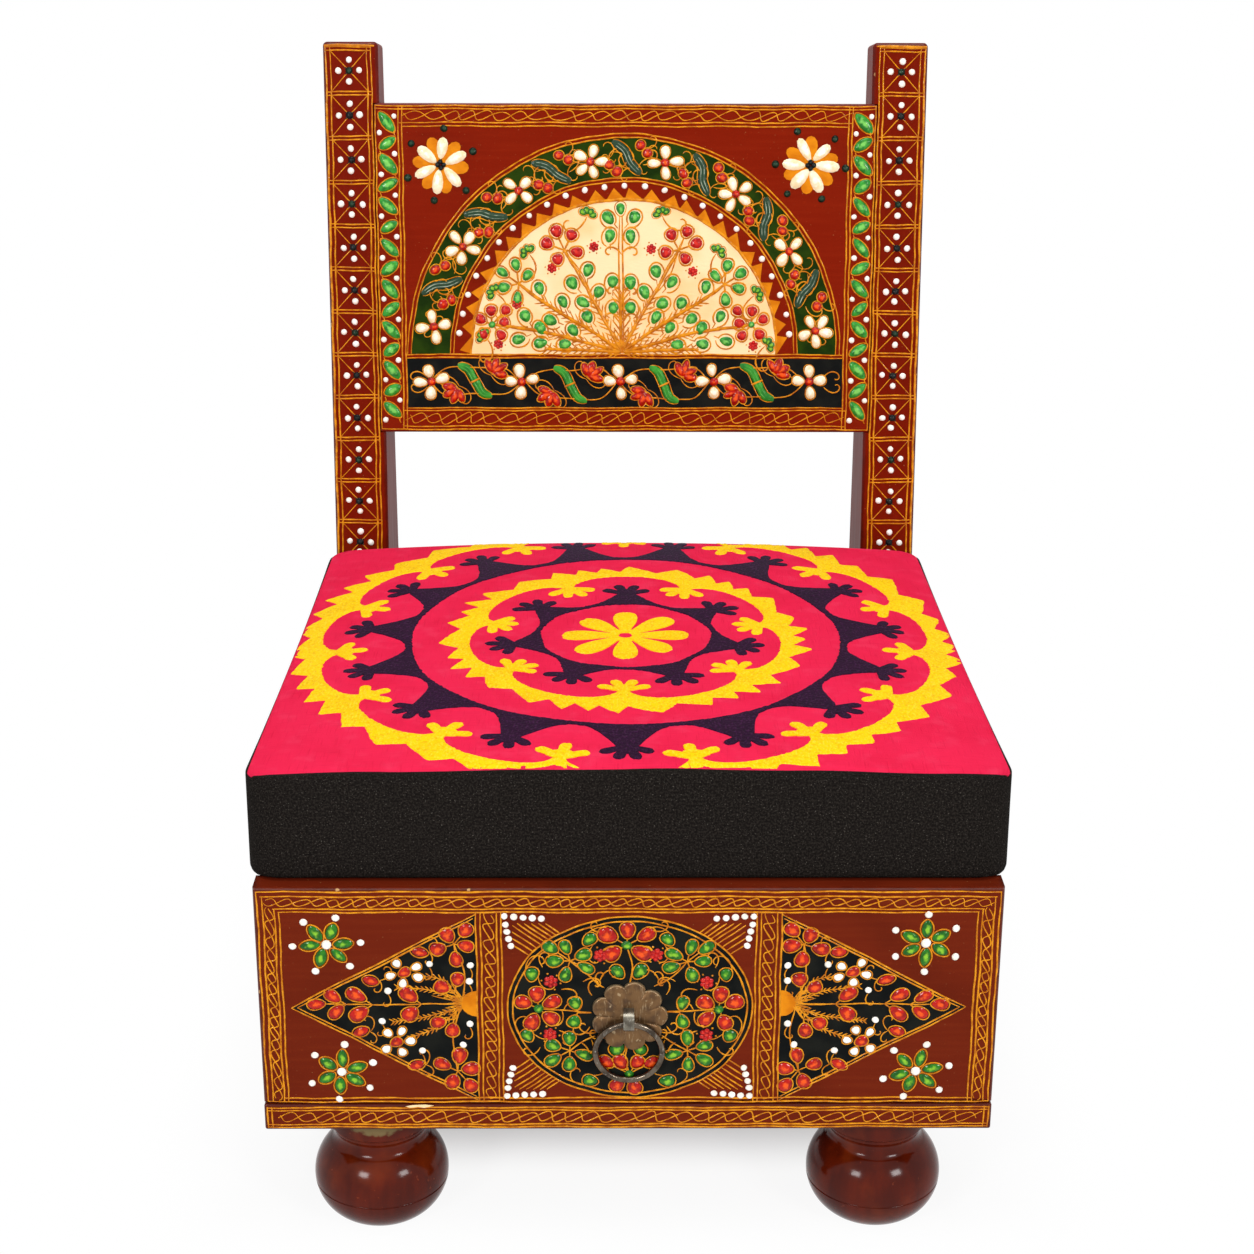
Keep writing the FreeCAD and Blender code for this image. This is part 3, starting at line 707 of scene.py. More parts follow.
class RaisedDaubs(ShapeTree):
    """Sets one low daub of paint on every point of a mesh, turned and sized by the point's attributes."""

    def __init__(self) -> None:
        """Build the tree: instances of a template on points."""
        super().__init__("raised_daubs", {"Template": "NodeSocketObject", "Paint": "NodeSocketMaterial"})
        graph = self.graph
        template = graph.add("GeometryNodeObjectInfo", sockets={"Object": self.given("Template")},
                             output="Geometry")
        turn = graph.add("GeometryNodeInputNamedAttribute", {"data_type": "FLOAT"}, {"Name": "turn"})
        size = graph.add("GeometryNodeInputNamedAttribute", {"data_type": "FLOAT_VECTOR"}, {"Name": "size"})
        self.close(graph.add("GeometryNodeInstanceOnPoints", sockets={
            "Points": self.given("Geometry"), "Instance": template, "Scale": size,
            "Rotation": graph.add("ShaderNodeCombineXYZ", sockets={"Z": turn})}))


@dataclass(frozen=True)
class Face:
    """A flat painted face: where it is, which way is up on it and which way it looks."""

    origin: Vector
    up: Vector
    out: Vector

    def matrix(self) -> Matrix:
        """Transform from the face's own across, up and out to the shared frame."""
        turned = Matrix((self.up.cross(self.out), self.up, self.out)).transposed().to_4x4()
        return Matrix.Translation(self.origin) @ turned


def add_piece(name: str, meshes: Sequence[Mesh], body: str,
              matrix: Optional[Matrix] = None) -> Object:
    """Join meshes into one finished piece that rides on a body.

    Args:
        name: The piece's name.
        meshes: The meshes, whose last material is the one they wear; they are used up.
        body: The CAD body that it moves with.
        matrix: Transform from the meshes' own frame to the shared one.

    Returns:
        The piece, at the origin with its place in its mesh.
    """
    joined = bmesh.new()
    materials: List[bpy.types.Material] = []
    for mesh in meshes:
        first = len(joined.faces)
        joined.from_mesh(mesh)
        joined.faces.ensure_lookup_table()
        paint = mesh.materials[-1]
        if paint not in materials:
            materials.append(paint)
        for number in range(first, len(joined.faces)):
            joined.faces[number].material_index = materials.index(paint)
        bpy.data.meshes.remove(mesh)
    if matrix is not None:
        joined.transform(matrix)
    result = bpy.data.meshes.new(name)
    joined.to_mesh(result)
    joined.free()
    for paint in materials:
        result.materials.append(paint)
    piece = shown(bpy.data.objects.new(name, result))
    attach(piece, body)
    LOG.info("%s: %d faces on %s", name, len(result.polygons), body)
    return piece


def ahead(place: Point, heading: float, far: float, aside: float = 0) -> Point:
    """The point that lies far along a heading in radians, and aside to the left of it."""
    forth, up = cos(heading), sin(heading)
    return (place[0] + far * forth - aside * up, place[1] + far * up + aside * forth)


def on_oval(middle: Point, radii: Point, angle: float) -> Point:
    """The point of an ellipse at an angle in radians."""
    return (middle[0] + radii[0] * cos(angle), middle[1] + radii[1] * sin(angle))


def bearing(start: Point, end: Point) -> float:
    """The heading from one point to another, in radians."""
    return atan2(end[1] - start[1], end[0] - start[0])


def between(start: Point, end: Point, part: float, parts: float) -> Point:
    """The point that is some parts of the way from one point to another."""
    return (start[0] + (end[0] - start[0]) * part / parts, start[1] + (end[1] - start[1]) * part / parts)


def mirrored(points: Sequence[Point], side: float) -> List[Point]:
    """Points mirrored about the upright middle line when side is -1."""
    return [(side * x, y) for x, y in points]


def smooth_path(points: Sequence[Point], stride: float) -> List[Point]:
    """A smooth line through points.

    Args:
        points: The points that it passes.
        stride: The most that two points of the result lie apart.

    Returns:
        Points along the line.
    """
    ends = [points[0], *points, points[-1]]
    path: List[Point] = []
    for before, start, end, after in zip(ends, ends[1:], ends[2:], ends[3:]):
        p0, p1, p2, p3 = (np.array(p, float) for p in (before, start, end, after))
        steps = max(2, ceil(float(np.linalg.norm(p2 - p1)) / stride))
        for t in (step / steps for step in range(steps)):
            path.append(tuple(0.5 * (2 * p1 + (p2 - p0) * t + (2 * p0 - 5 * p1 + 4 * p2 - p3) * t ** 2
                                     + (3 * p1 - p0 - 3 * p2 + p3) * t ** 3)))
    path.append(tuple(points[-1]))
    return path


@dataclass(frozen=True)
class Spray:
    """A stem that ends in a fan of daubs, such as a flower or a leafed twig."""

    root: Point
    node: Point
    tips: Path
    paint: Paint
    length: float = 10.5
    width: float = 7.8
    heart: Optional[Paint] = None

    def placed(self, flip: float, middle: float) -> "Spray":
        """The spray mirrored about an upright line when flip is -1, and moved on to it."""
        root, node, *tips = [(middle + flip * x, y) for x, y in (self.root, self.node, *self.tips)]
        return Spray(root, node, tuple(tips), self.paint, self.length, self.width, self.heart)


@dataclass(frozen=True)
class Stroke:
    """One raised line: its points, width, whether it closes, its width share at the ends and its lift."""

    points: Path
    width: float
    closed: bool
    taper: float
    lift: float


@dataclass(frozen=True)
class Mark:
    """One raised daub: its place, turn, width, length, height and lift."""

    place: Point
    turn: float
    size: Triple
    lift: float


@dataclass
class Paintwork(ABC):
    """Ornament on one flat face, drawn in millimetres across and up the face."""

    LINE: ClassVar[float] = 1.35
    FINE: ClassVar[float] = 1
    STRIDE: ClassVar[float] = 2.2
    ROUND: ClassVar[float] = 0.75
    FLAT: ClassVar[float] = 0.22
    RULED_STRIDE: ClassVar[float] = 9
    ARC_STRIDE: ClassVar[float] = 3
    CURL_STEPS: ClassVar[int] = 12
    RIM_POINTS: ClassVar[int] = 16
    SWAY: ClassVar[Point] = (0.32, 0.16)
    UNEVEN: ClassVar[Point] = (0.92, 1.09)
    DAUB_FOOT: ClassVar[float] = 0.25
    OVERLAP: ClassVar[float] = 0.3

    name: str
    body: str
    face: Face
    seed: int

    def __post_init__(self) -> None:
        """Start with a bare face and a hand whose small unevenness is seeded."""
        self.hand = random.Random(self.seed)
        self.strokes: Dict[Tuple[Paint, float], List[Stroke]] = {}
        self.marks: Dict[Tuple[Paint, Form], List[Mark]] = {}
        self.fields: Dict[Paint, List[Tuple[List[Point], float]]] = {}

    def sway(self, point: Point) -> Point:
        """A point moved a little, as an unsteady hand would, evenly with its neighbours."""
        (x, y), (sway, tremble) = point, self.SWAY
        return (x + sway * sin(0.11 * y + 0.02 * x + 1) + tremble * sin(0.31 * y - 0.13 * x),
                y + sway * sin(0.09 * x + 0.03 * y) + tremble * sin(0.29 * x + 0.17 * y + 2))

    def line(self, points: Sequence[Point], width: float = LINE, closed: bool = False, taper: float = 0.6,
             paint: Paint = Paint.OCHRE, rise: float = ROUND, lift: float = 0) -> None:
        """Draw a raised line through points.

        Args:
            points: The points; a pair gets three more between.
            width: Width of the line.
            closed: Whether it runs back to its start.
            taper: Share of the width that is left at the ends.
            paint: Its paint.
            rise: Its height, as a share of half the width.
            lift: Height of its foot over the face.
        """
        if len(points) == 2:
            points = [between(*points, k, 4) for k in range(5)]
        self.strokes.setdefault((paint, rise), []).append(Stroke(tuple(points), width, closed, taper, lift))

    def ruled(self, start: Point, end: Point, width: float = LINE) -> None:
        """A long straight line, which thickens and thins a little."""
        steps = max(2, round(dist(start, end) / self.RULED_STRIDE))
        self.line([between(start, end, k, steps) for k in range(steps + 1)], width)

    def curve(self, points: Sequence[Point], width: float = FINE) -> None:
        """A smooth ochre line through points."""
        self.line(smooth_path(points, self.STRIDE), width)

    def arc(self, middle: Point, radii: Point, start: float, end: float, width: float = LINE) -> None:
        """Draw part of an ellipse, or all of it.

        Args:
            middle: Its middle.
            radii: Its half width and half height.
            start: Angle at which it starts, in degrees.
            end: Angle at which it ends, 360 on for a whole one.
            width: Width of the line.
        """
        steps = max(6, round(radians(abs(end - start)) * max(radii) / self.ARC_STRIDE))
        whole = abs(end - start) >= 360
        last = steps if whole else steps + 1
        turns = [radians(start + (end - start) * k / steps) for k in range(last)]
        self.line([on_oval(middle, radii, turn) for turn in turns], width, whole)

    def braid(self, start: Point, end: Point, rise: float, pitch: float) -> None:
        """Draw two strands that wind round each other like a rope.

        Args:
            start: One end of the rope.
            end: The other end.
            rise: How far a strand swings out.
            pitch: Length of one link.
        """
        run = dist(start, end)
        halves = max(1, round(run / pitch))
        steps = halves * 8
        for strand in (1, -1):
            points = []
            for share in (step / steps for step in range(steps + 1)):
                far = share * run
                drift = 0.8 * sin(far * 0.05 + rise) + 0.4 * sin(far * 0.13 + strand)
                high = rise * (1 + 0.16 * sin(far * 0.09 + 2 * strand))
                bow = strand * high * sin(pi * halves * share + drift)
                points.append(ahead(start, bearing(start, end), far + 0.75 * bow, bow))
            self.line(points, self.FINE)

    def dot(self, paint: Paint, place: Point, radius: float, lift: float = 0) -> None:
        """Set a round daub, a little uneven.

        Args:
            paint: Its paint.
            place: Its middle.
            radius: Its radius.
            lift: Height of its foot over the face.
        """
        wide, long = (2 * radius * self.hand.uniform(*self.UNEVEN) for _ in range(2))
        mark = Mark(place, self.hand.uniform(0, pi), (wide, long, 0.45 * radius + self.DAUB_FOOT), lift)
        self.marks.setdefault((paint, Form.DOT), []).append(mark)

    def daub(self, form: Form, paint: Paint, place: Point, heading: float, length: float, width: float,
             gap: float = 0, lift: float = 0, rim: float = FINE) -> None:
        """Set a long daub, outlined in ochre if there is a gap.

        Args:
            form: Its outline.
            paint: Its paint.
            place: Its middle.
            heading: Where its tip points, in radians.
            length: Its length.
            width: Its width.
            gap: Space between it and the outline.
            lift: Height of its foot over the face.
            rim: Width of the outline.
        """
        turn = heading - 0.5 * pi + self.hand.uniform(-0.12, 0.12)
        length *= self.hand.uniform(*self.UNEVEN)
        width *= self.hand.uniform(0.90, 1.10)
        size = (width, length, 0.15 * min(length, width) + self.DAUB_FOOT)
        self.marks.setdefault((paint, form), []).append(Mark(place, turn, size, lift))
        if gap > 0:
            loop = [(x * (width + 2 * gap), y * (length + 2 * gap)) for x, y in form.outline(self.RIM_POINTS)]
            self.line([ahead(place, turn, x, y) for x, y in loop], rim, True)

    def ground(self, paint: Paint, outline: Sequence[Point], thickness: float = 0.12) -> None:
        """A flat field of paint."""
        self.fields.setdefault(paint, []).append((list(outline), thickness))

    def curl(self, start: Point, heading: float, size: float, side: float = 1, width: float = FINE) -> None:
        """Draw a tendril that winds up.

        Args:
            start: Its root.
            heading: Where it sets out for, in radians.
            size: Its size, about half its length.
            side: 1 to wind to the left, -1 to the right.
            width: Width of the line.
        """
        points = [start]
        for share in (step / self.CURL_STEPS for step in range(self.CURL_STEPS + 1)):
            heading += side * (0.10 + 0.52 * share)
            points.append(ahead(points[-1], heading, size * (0.26 - 0.15 * share)))
        self.line(points, width, False, 0.5)

    def feather(self, path: Sequence[Point], reach: float, pitch: float, width: float = FINE,
                barb: float = FINE) -> None:
        """Draw a stem with short barbs that slant forward on both sides.

        Args:
            path: Points that the stem passes.
            reach: Length of a barb.
            pitch: The most that two barbs lie apart.
            width: Width of the stem.
            barb: Width of a barb.
        """
        stem = smooth_path(path, pitch)
        self.line(stem, width)
        for start, end in zip(stem, stem[1:]):
            for lean in (0.62, -0.62):
                tip = ahead(start, bearing(start, end) + lean, reach * self.hand.uniform(0.7, 1.1))
                self.line([start, tip], barb, False, 0.4)

    def ribbon(self, path: Sequence[Point], width: float, paint: Paint, highlight_paint: Paint) -> None:
        """Draw a broad curved leaf with ochre edges and two thin pale streaks on it, painted as highlights.

        Args:
            path: Points that its spine passes.
            width: Width of the leaf.
            paint: The leaf's paint.
            highlight_paint: The paint of the pale streaks, which are painted highlights.
        """
        spine = smooth_path(path, self.STRIDE)
        self.line(spine, width, False, 0.45, paint, self.FLAT)
        last = len(spine) - 1
        for side in BOTH:
            for shift, margin in ((0.5 * width + 0.35, 0), (0.17 * width, 2)):
                edge = []
                for number in range(margin, last + 1 - margin):
                    before, after = spine[max(number - 1, 0)], spine[min(number + 1, last)]
                    pinch = 1 - 0.7 * abs(2 * number / last - 1) ** 5
                    edge.append(ahead(spine[number], bearing(before, after), 0, side * shift * pinch))
                # The inner edges carry the pale streaks, which are painted highlights along the leaf.
                if margin:
                    self.line(edge, 0.85, False, 0.3, highlight_paint, self.ROUND, 0.35 * self.FLAT * width)
                else:
                    self.line(edge, self.FINE)

    def spray(self, motif: Spray, gap: float = 0.45, rim: float = 1.05) -> None:
        """Draw a spray: its stem, its daubs and its heart.

        Args:
            motif: The spray.
            gap: Space between a daub and its outline.
            rim: Width of the outlines.
        """
        root, node = motif.root, motif.node
        bow = (node[1] - root[1]) * 0.10
        self.curve([root, ((root[0] + node[0]) / 2 + bow, (root[1] + node[1]) / 2 - bow * 0.4), node], 1.25)
        for tip in motif.tips:
            heading = bearing(node, tip)
            self.line([node, ahead(tip, heading, -0.5 * motif.length)], 1.1 * rim)
            self.daub(Form.PETAL, motif.paint, tip, heading, motif.length, motif.width, gap, 0, rim)
        if motif.heart is not None:
            self.dot(motif.heart, node, 0.34 * motif.width, self.OVERLAP)

    def cluster(self, paint: Paint, place: Point, radius: float) -> None:
        """Draw a berry made of small dots, with a few ochre specks round it.

        Args:
            paint: The berry's paint.
            place: Its middle.
            radius: Its radius.
        """
        self.dot(paint, place, radius * 0.44)
        for step in range(6):
            self.dot(paint, ahead(place, TAU * step / 6 + 0.4, radius * 0.66), radius * 0.42)
        for step in range(6):
            self.dot(Paint.OCHRE, ahead(place, TAU * step / 6 + 0.9, radius * 1.4), 0.7)

    def blossom(self, place: Point, turns: Sequence[float], reach: float, size: Point) -> None:
        """Draw a cream flower round a red heart.

        Args:
            place: Its middle.
            turns: Where each petal points, in degrees.
            reach: How far out the petals lie.
            size: Length and width of a petal.
        """
        for degrees in turns:
            heading = radians(degrees + self.hand.uniform(-7, 7))
            petal = ahead(place, heading, reach * self.hand.uniform(0.94, 1.1))
            self.daub(Form.PETAL, Paint.CREAM, petal, heading, *size, 0.35)
        self.dot(Paint.RED, place, 0.40 * reach, self.OVERLAP)

    def stroke_meshes(self) -> List[Mesh]:
        """Make the raised lines.

        Returns:
            One mesh for each paint and roundness.
        """
        tree = RaisedLines()
        meshes = []
        for (paint, rise), strokes in self.strokes.items():
            data = bpy.data.curves.new("strokes", "CURVE")
            data.dimensions = "3D"
            for stroke in strokes:
                last = len(stroke.points) - 1
                spline = data.splines.new("POLY")
                spline.points.add(last)
                spline.use_cyclic_u = stroke.closed
                for number, point in enumerate(stroke.points):
                    x, y = self.sway(point)
                    end = 0 if stroke.closed else abs(2 * number / last - 1) ** 8
                    thick = stroke.width * (1 - (1 - stroke.taper) * end) * self.hand.uniform(0.85, 1.15)
                    spline.points[number].co = (x * MM, y * MM, stroke.lift * MM, 1)
                    spline.points[number].radius = 0.5 * thick * MM
            meshes.append(tree.mesh(bpy.data.objects.new("strokes", data),
                                    {"Rise": rise, "Facets": 4, "Paint": paint.value.material()}))
        return meshes

    def template(self, form: Form) -> Object:
        """Make a low rounded daub, one wide, one long and one high.

        Args:
            form: Its outline.

        Returns:
            The daub, whose points keep their distance from the middle as rim.
        """
        steps = 12
        rings = ((0.55, 0.84), (0.85, 0.46), (1, -0.04))
        points: List[Triple] = [(0, 0, 1)]
        rim = [0]
        for share, height in rings:
            points += [(x * share, y * share, height) for x, y in form.outline(steps)]
            rim += [share] * steps
        faces: Faces = [(0, 1 + k, 1 + (k + 1) % steps) for k in range(steps)]
        for first in range(1, 1 + steps * (len(rings) - 1), steps):
            faces += [(first + k, first + steps + k, first + steps + (k + 1) % steps, first + (k + 1) % steps)
                      for k in range(steps)]
        foot = len(points) - steps
        faces.append(tuple(range(len(points) - 1, foot - 1, -1)))
        mesh = mesh_of("daub", points, faces)
        for edge in mesh.edges:
            edge.use_edge_sharp = min(edge.vertices) >= foot
        mesh.attributes.new("rim", "FLOAT", "POINT").data.foreach_set("value", rim)
        return bpy.data.objects.new("daub", mesh)

    def mark_meshes(self) -> List[Mesh]:
        """Make the daubs.

        Returns:
            One mesh for each paint and form.
        """
        tree = RaisedDaubs()
        meshes = []
        for (paint, form), marks in self.marks.items():
            places = [(*self.sway(mark.place), mark.lift) for mark in marks]
            spots = mesh_of("spots", [tuple(c * MM for c in place) for place in places], [])
            turns = spots.attributes.new("turn", "FLOAT", "POINT")
            turns.data.foreach_set("value", [mark.turn for mark in marks])
            sizes = spots.attributes.new("size", "FLOAT_VECTOR", "POINT")
            sizes.data.foreach_set("vector", [size * MM for mark in marks for size in mark.size])
            template = self.template(form)
            meshes.append(tree.mesh(bpy.data.objects.new("spots", spots),
                                    {"Template": template, "Paint": paint.value.material()}))
            bpy.data.objects.remove(template)
        return meshes

    def field_meshes(self) -> List[Mesh]:
        """Make the flat fields as thin plates.

        Returns:
            One mesh for each paint.
        """
        meshes = []
        for paint, fields in self.fields.items():
            points: List[Triple] = []
            faces: Faces = []
            for outline, thickness in fields:
                rim = [self.sway(point) for point in outline]
                if sum(a[0] * b[1] - a[1] * b[0] for a, b in zip(rim, [*rim[1:], rim[0]])) < 0:
                    rim.reverse()
                low = range(len(points), len(points) + len(rim))
                high = [number + len(rim) for number in low]
                points += [(x * MM, y * MM, level * MM) for level in (0, thickness) for x, y in rim]
                faces += [tuple(reversed(low)), tuple(high)]
                faces += [(low[k - 1], low[k], high[k], high[k - 1]) for k in range(len(rim))]
            mesh = mesh_of("field", points, faces)
            mesh.materials.append(paint.value.material())
            meshes.append(mesh)
        return meshes

    @abstractmethod
    def draw(self) -> None:
        """Draw everything on the face."""

    def build(self) -> None:
        """Draw the ornament, make its pieces and let them ride on the body."""
        self.draw()
        matrix = self.face.matrix()
        for part, meshes in (("grounds", self.field_meshes()), ("raised_lines", self.stroke_meshes()),
                             ("daubs", self.mark_meshes())):
            if meshes:
                add_piece(f"{self.name}_{part}", meshes, self.body, matrix)


@dataclass
class DrawerPaintwork(Paintwork):
    """Drawer front: braided frame, a roundel of flowers between two triangles, four stars."""

    levels: Path = ((76.2, 237.5), (72.8, 235), (64.1, 227.3), (61.8, 224), (-74.2, 226.3), (-77, 237.5))
    uprights: Path = (
        (237.2, 76.4), (233.8, 72.8), (226.4, 64.1), (223.6, 62), (98, 62), (95, 62), (84.6, 62),
        (81.8, 62))
    roundel_middle: Point = (0.8, -7.5)
    roundel_radii: Point = (79.2, 66)
    stars: Tuple[Triple, ...] = (
        (-194.3, 38.5, 8), (-187.7, -54.6, 20), (190.8, 39.7, 28), (188.6, -54.3, 14))
    apex: Point = (219, -7)
    corners: Path = ((98, 60.5), (98, -76.5))
    dot_rows: Path = ((1, 58.6), (-1, -72.6))
    roundel_sprays: Tuple[Spray, ...] = (
        Spray((19, 9.2), (38, 26.9), ((40.4, 37), (50.2, 36.5), (48, 26.8), (41, 17.2), (29.4, 31.6),
            (27.6, 22.3)), Paint.GREEN, 10.8, 7.6),
        Spray((24, -10.5), (58, -8), ((49.6, -3.3), (59.6, 2.4), (68.2, -3.3), (50.5, -15), (62.5, -17.6)),
            Paint.RED, 11.8, 9.4, Paint.GREEN),
        Spray((21.8, -27.8), (38.4, -39.2), ((38.7, -30), (49.6, -35.2), (29.3, -42), (39.1, -49.2),
            (49.6, -45.8)), Paint.GREEN, 10.8, 7.6),
        Spray((24, -10.5), (33, -10.7), ((34.6, -3.9), (35, -17.4)), Paint.GREEN, 9.6, 8.2))
    round_leaves: Path = ((25, 42.5), (63, 17), (66, -27.5), (25, -61.5))
    berries: Path = ((18, 31), (50.5, 11.5), (51, -27))
    roundel_curls: Tuple[Triple, ...] = (
        (16, 8, 0.4), (19, 13, 1.8), (21, -25, -0.4), (24, -31, -2), (24, 2, 0.9), (25, -21, -1.2),
        (42, -9, 1.9), (43, -10, -1.9), (13, 26, 0.9), (14, 49, -0.4), (30, 12, 2.4), (31, -33, -2.6),
        (44, 6, 2.8), (45, -24, -2.9), (56, 22, 1), (58, -36, -1.2), (14, -28, -0.6))
    north_flower: Spray = Spray(
        (0, 9), (-1, 37.8), ((-1, 48.6), (11.2, 45.4), (8.6, 32.4), (-13.4, 45.4), (-10.4, 32.4)),
        Paint.RED, 12.4, 10, Paint.GREEN)
    south_flower: Spray = Spray(
        (0, -33), (0, -55.5), ((-15, -47.4), (-5.4, -47), (5.6, -47.4), (15, -47.8), (-7.4, -64.4),
        (4, -65.6)), Paint.RED, 10.6, 9, Paint.GREEN)
    triangle_sprays: Tuple[Spray, ...] = (
        Spray((108, -4), (112.5, 39), ((104.4, 49.4), (116.2, 45.4), (104.8, 38), (111.5, 28.4),
            (123, 35.6)), Paint.RED, 10.8, 8.6),
        Spray((108, -6), (111.5, -54), ((110.5, -43), (121.6, -49), (115, -62), (103, -52.6), (103.2, -65)),
            Paint.RED, 10.8, 8.6),
        Spray((108, -4), (112, 4.8), ((110.6, 13.6), (120.4, 7.8)), Paint.RED, 10, 9),
        Spray((108, -6), (113.5, -15.4), ((114.8, -23.8), (123.6, -18.2)), Paint.RED, 10, 8.8),
        Spray((110, -4.5), (134, -4.4), ((142.2, 2.6), (141.8, -11.4)), Paint.RED, 12.6, 9.6),
        Spray((134, -4.4), (166, -4.6), ((176, 2), (175.2, -11.6)), Paint.RED, 13.4, 9),
        Spray((166, -4.6), (183, -4.6), ((191.5, 1), (189.8, -10.4), (202.5, -4.6)), Paint.RED, 12.4, 7.6))
    white_flowers: Tuple[Path, ...] = (
        ((144.8, 18.6), (137.2, 22.5), (136, 15), (145.6, 11), (153.6, 16.6), (149.8, 25)),
        ((151.6, -32.1), (147.9, -24), (156.9, -25.6), (142.6, -31.1), (147.8, -39.4), (158, -37.4)))
    white_dots: Path = (
        (102.6, 23.9), (102.9, 12.5), (128.5, 24.4), (155.4, 5.4), (160.4, -16.7), (103.3, -19.1),
        (108.1, -34.8), (134.5, -38.5))
    buds: Tuple[Triple, ...] = ((135, 33, 0.1), (166.5, 13, 0.3), (174.6, -24.7, -0.3), (138.3, -49, -0.4))
    feathers: Tuple[Path, ...] = (
        ((108, -4), (121, 13), (136, 15.5)), ((108, -6), (124, -21), (143, -29)),
        ((110, -3), (126, 5), (150, 8)), ((110, -7), (128, -13), (154, -17)))

    def border(self) -> None:
        """Ruled lines and braids round the face and beside the roundel."""
        for level, reach in self.levels:
            self.ruled((-reach, level), (reach, level))
        self.braid((-233, 68.5), (233, 68.5), 2.7, 9.4)
        for side in BOTH:
            for across, top in self.uprights:
                self.ruled((side * across, -77), (side * across, top))
            self.braid((side * 230.1, -76), (side * 230.1, 64.5), 2.6, 9)
            self.braid((side * 89.7, -76), (side * 89.7, 61), 3.2, 8.8)

    def star(self, place: Point, turn: float) -> None:
        """Draw six outlined green petals, a white heart and a white dot beyond each tip.

        Args:
            place: The star's middle.
            turn: Where its first petal points, in degrees.
        """
        for step in range(6):
            heading = TAU * step / 6 + radians(turn + self.hand.uniform(-5, 5))
            self.daub(Form.LEAF, Paint.GREEN, on_oval(place, (10.8, 10), heading), heading, 12.6, 6.8, 0.8)
            self.dot(Paint.WHITE, on_oval(place, (22, 20.4), heading), 2.5)
        self.dot(Paint.WHITE, place, 3.3, 0.4)

    def triangle(self, side: float) -> None:
        """Draw a black triangle of red and white flowers that fans out from an ochre half disc.

        Args:
            side: 1 for the right triangle, -1 for the left.
        """
        corners = mirrored((self.corners[0], self.apex, self.corners[1]), side)
        self.ground(Paint.BLACK_GROUND, corners)
        middle = (side * 130, -5.5)
        for share in (1, 0.955):
            top, tip, low = (between(middle, corner, share, 1) for corner in corners)
            self.ruled(top, tip)
            self.ruled(tip, low)
        fan = [on_oval((98.4, -4), (9.8, 9.5), pi * (0.5 - k / 10)) for k in range(11)]
        self.ground(Paint.OCHRE_GROUND, mirrored(fan, side), 0.3)
        for step in range(9):
            tip = ahead((105, -4), radians(-56 + 14 * step), self.hand.uniform(13, 24))
            self.line(mirrored(((105, -4), tip), side), self.FINE, False, 0.3)
        for path in self.feathers:
            self.feather(mirrored(path, side), 4.2, 3.2)
        for motif in self.triangle_sprays:
            self.spray(motif.placed(side, 0))
        for flower in self.white_flowers:
            place, *petals = mirrored(flower, side)
            for petal in petals:
                self.daub(Form.PETAL, Paint.WHITE, petal, bearing(place, petal), 6.4, 5.4, 0.5)
            self.daub(Form.PETAL, Paint.RED, place, 0.5, 8.2, 6.8, 0.35, 0.2)
        for x, y in mirrored(self.white_dots, side):
            self.dot(Paint.WHITE, (x, y), 2.4)
            self.curl((x, y - 2.6), -0.5 * pi - side * 0.6, 6, side)
        for x, y, tilt in self.buds:
            heading = tilt if side > 0 else pi - tilt
            stem = (side * (x - 6), y)
            self.daub(Form.LEAF, Paint.RED, (side * x, y), heading, 11, 6.4, 0.7)
            self.curl(stem, heading + pi - side * 0.5, 8, -side)
            self.curl(stem, heading + pi + side * 0.7, 6, side)

    def roundel(self) -> None:
        """The black roundel with its double ring, leaf sprays, flowers and berries."""
        middle, radii = self.roundel_middle, self.roundel_radii
        steps = 96
        self.ground(Paint.BLACK_GROUND, [on_oval(middle, radii, TAU * k / steps) for k in range(steps)])
        for inset in (0, 3.4):
            self.arc(middle, (radii[0] - inset, radii[1] - inset), 0, 360)
        for side in BOTH:
            for motif in self.roundel_sprays:
                self.spray(motif.placed(side, 0))
            for leaf in mirrored(self.round_leaves, side):
                heading = bearing((0, -8), leaf)
                self.daub(Form.PETAL, Paint.GREEN, leaf, heading + side * 1.2, 9.4, 7.8, 0.7)
                self.curl(ahead(leaf, heading, 4.5), heading + side * 1.2, 11, side)
                self.curl(ahead(leaf, heading, -4.6), heading - side * 2, 9, -side)
            for berry in mirrored(self.berries, side):
                self.cluster(Paint.CRIMSON, berry, 4.4)
            for level, turn in ((19, 0.5 * pi - side * 0.7), (-37, -0.5 * pi + side * 0.7)):
                self.daub(Form.PETAL, Paint.GREEN, (side * 7.4, level), turn, 10.4, 8.2, 0.8)
            for x, y, heading in self.roundel_curls:
                self.curl((side * x, y), heading if side > 0 else pi - heading, 8, side, 1.2)
        self.spray(self.north_flower)
        self.spray(self.south_flower)

    def ring_hit(self, start: Point, heading: float) -> Optional[Point]:
        """Where a ray from outside first meets the roundel's ring.

        Args:
            start: Where the ray starts.
            heading: Where it goes, in radians.

        Returns:
            The point on the ring, or None if the ray misses it.
        """
        middle, radii = self.roundel_middle, self.roundel_radii
        px, py = (start[0] - middle[0]) / radii[0], (start[1] - middle[1]) / radii[1]
        dx, dy = cos(heading) / radii[0], sin(heading) / radii[1]
        a, b, c = dx * dx + dy * dy, px * dx + py * dy, px * px + py * py - 1
        room = b * b - a * c
        return None if room < 0 else ahead(start, heading, (-b - sqrt(room)) / a)

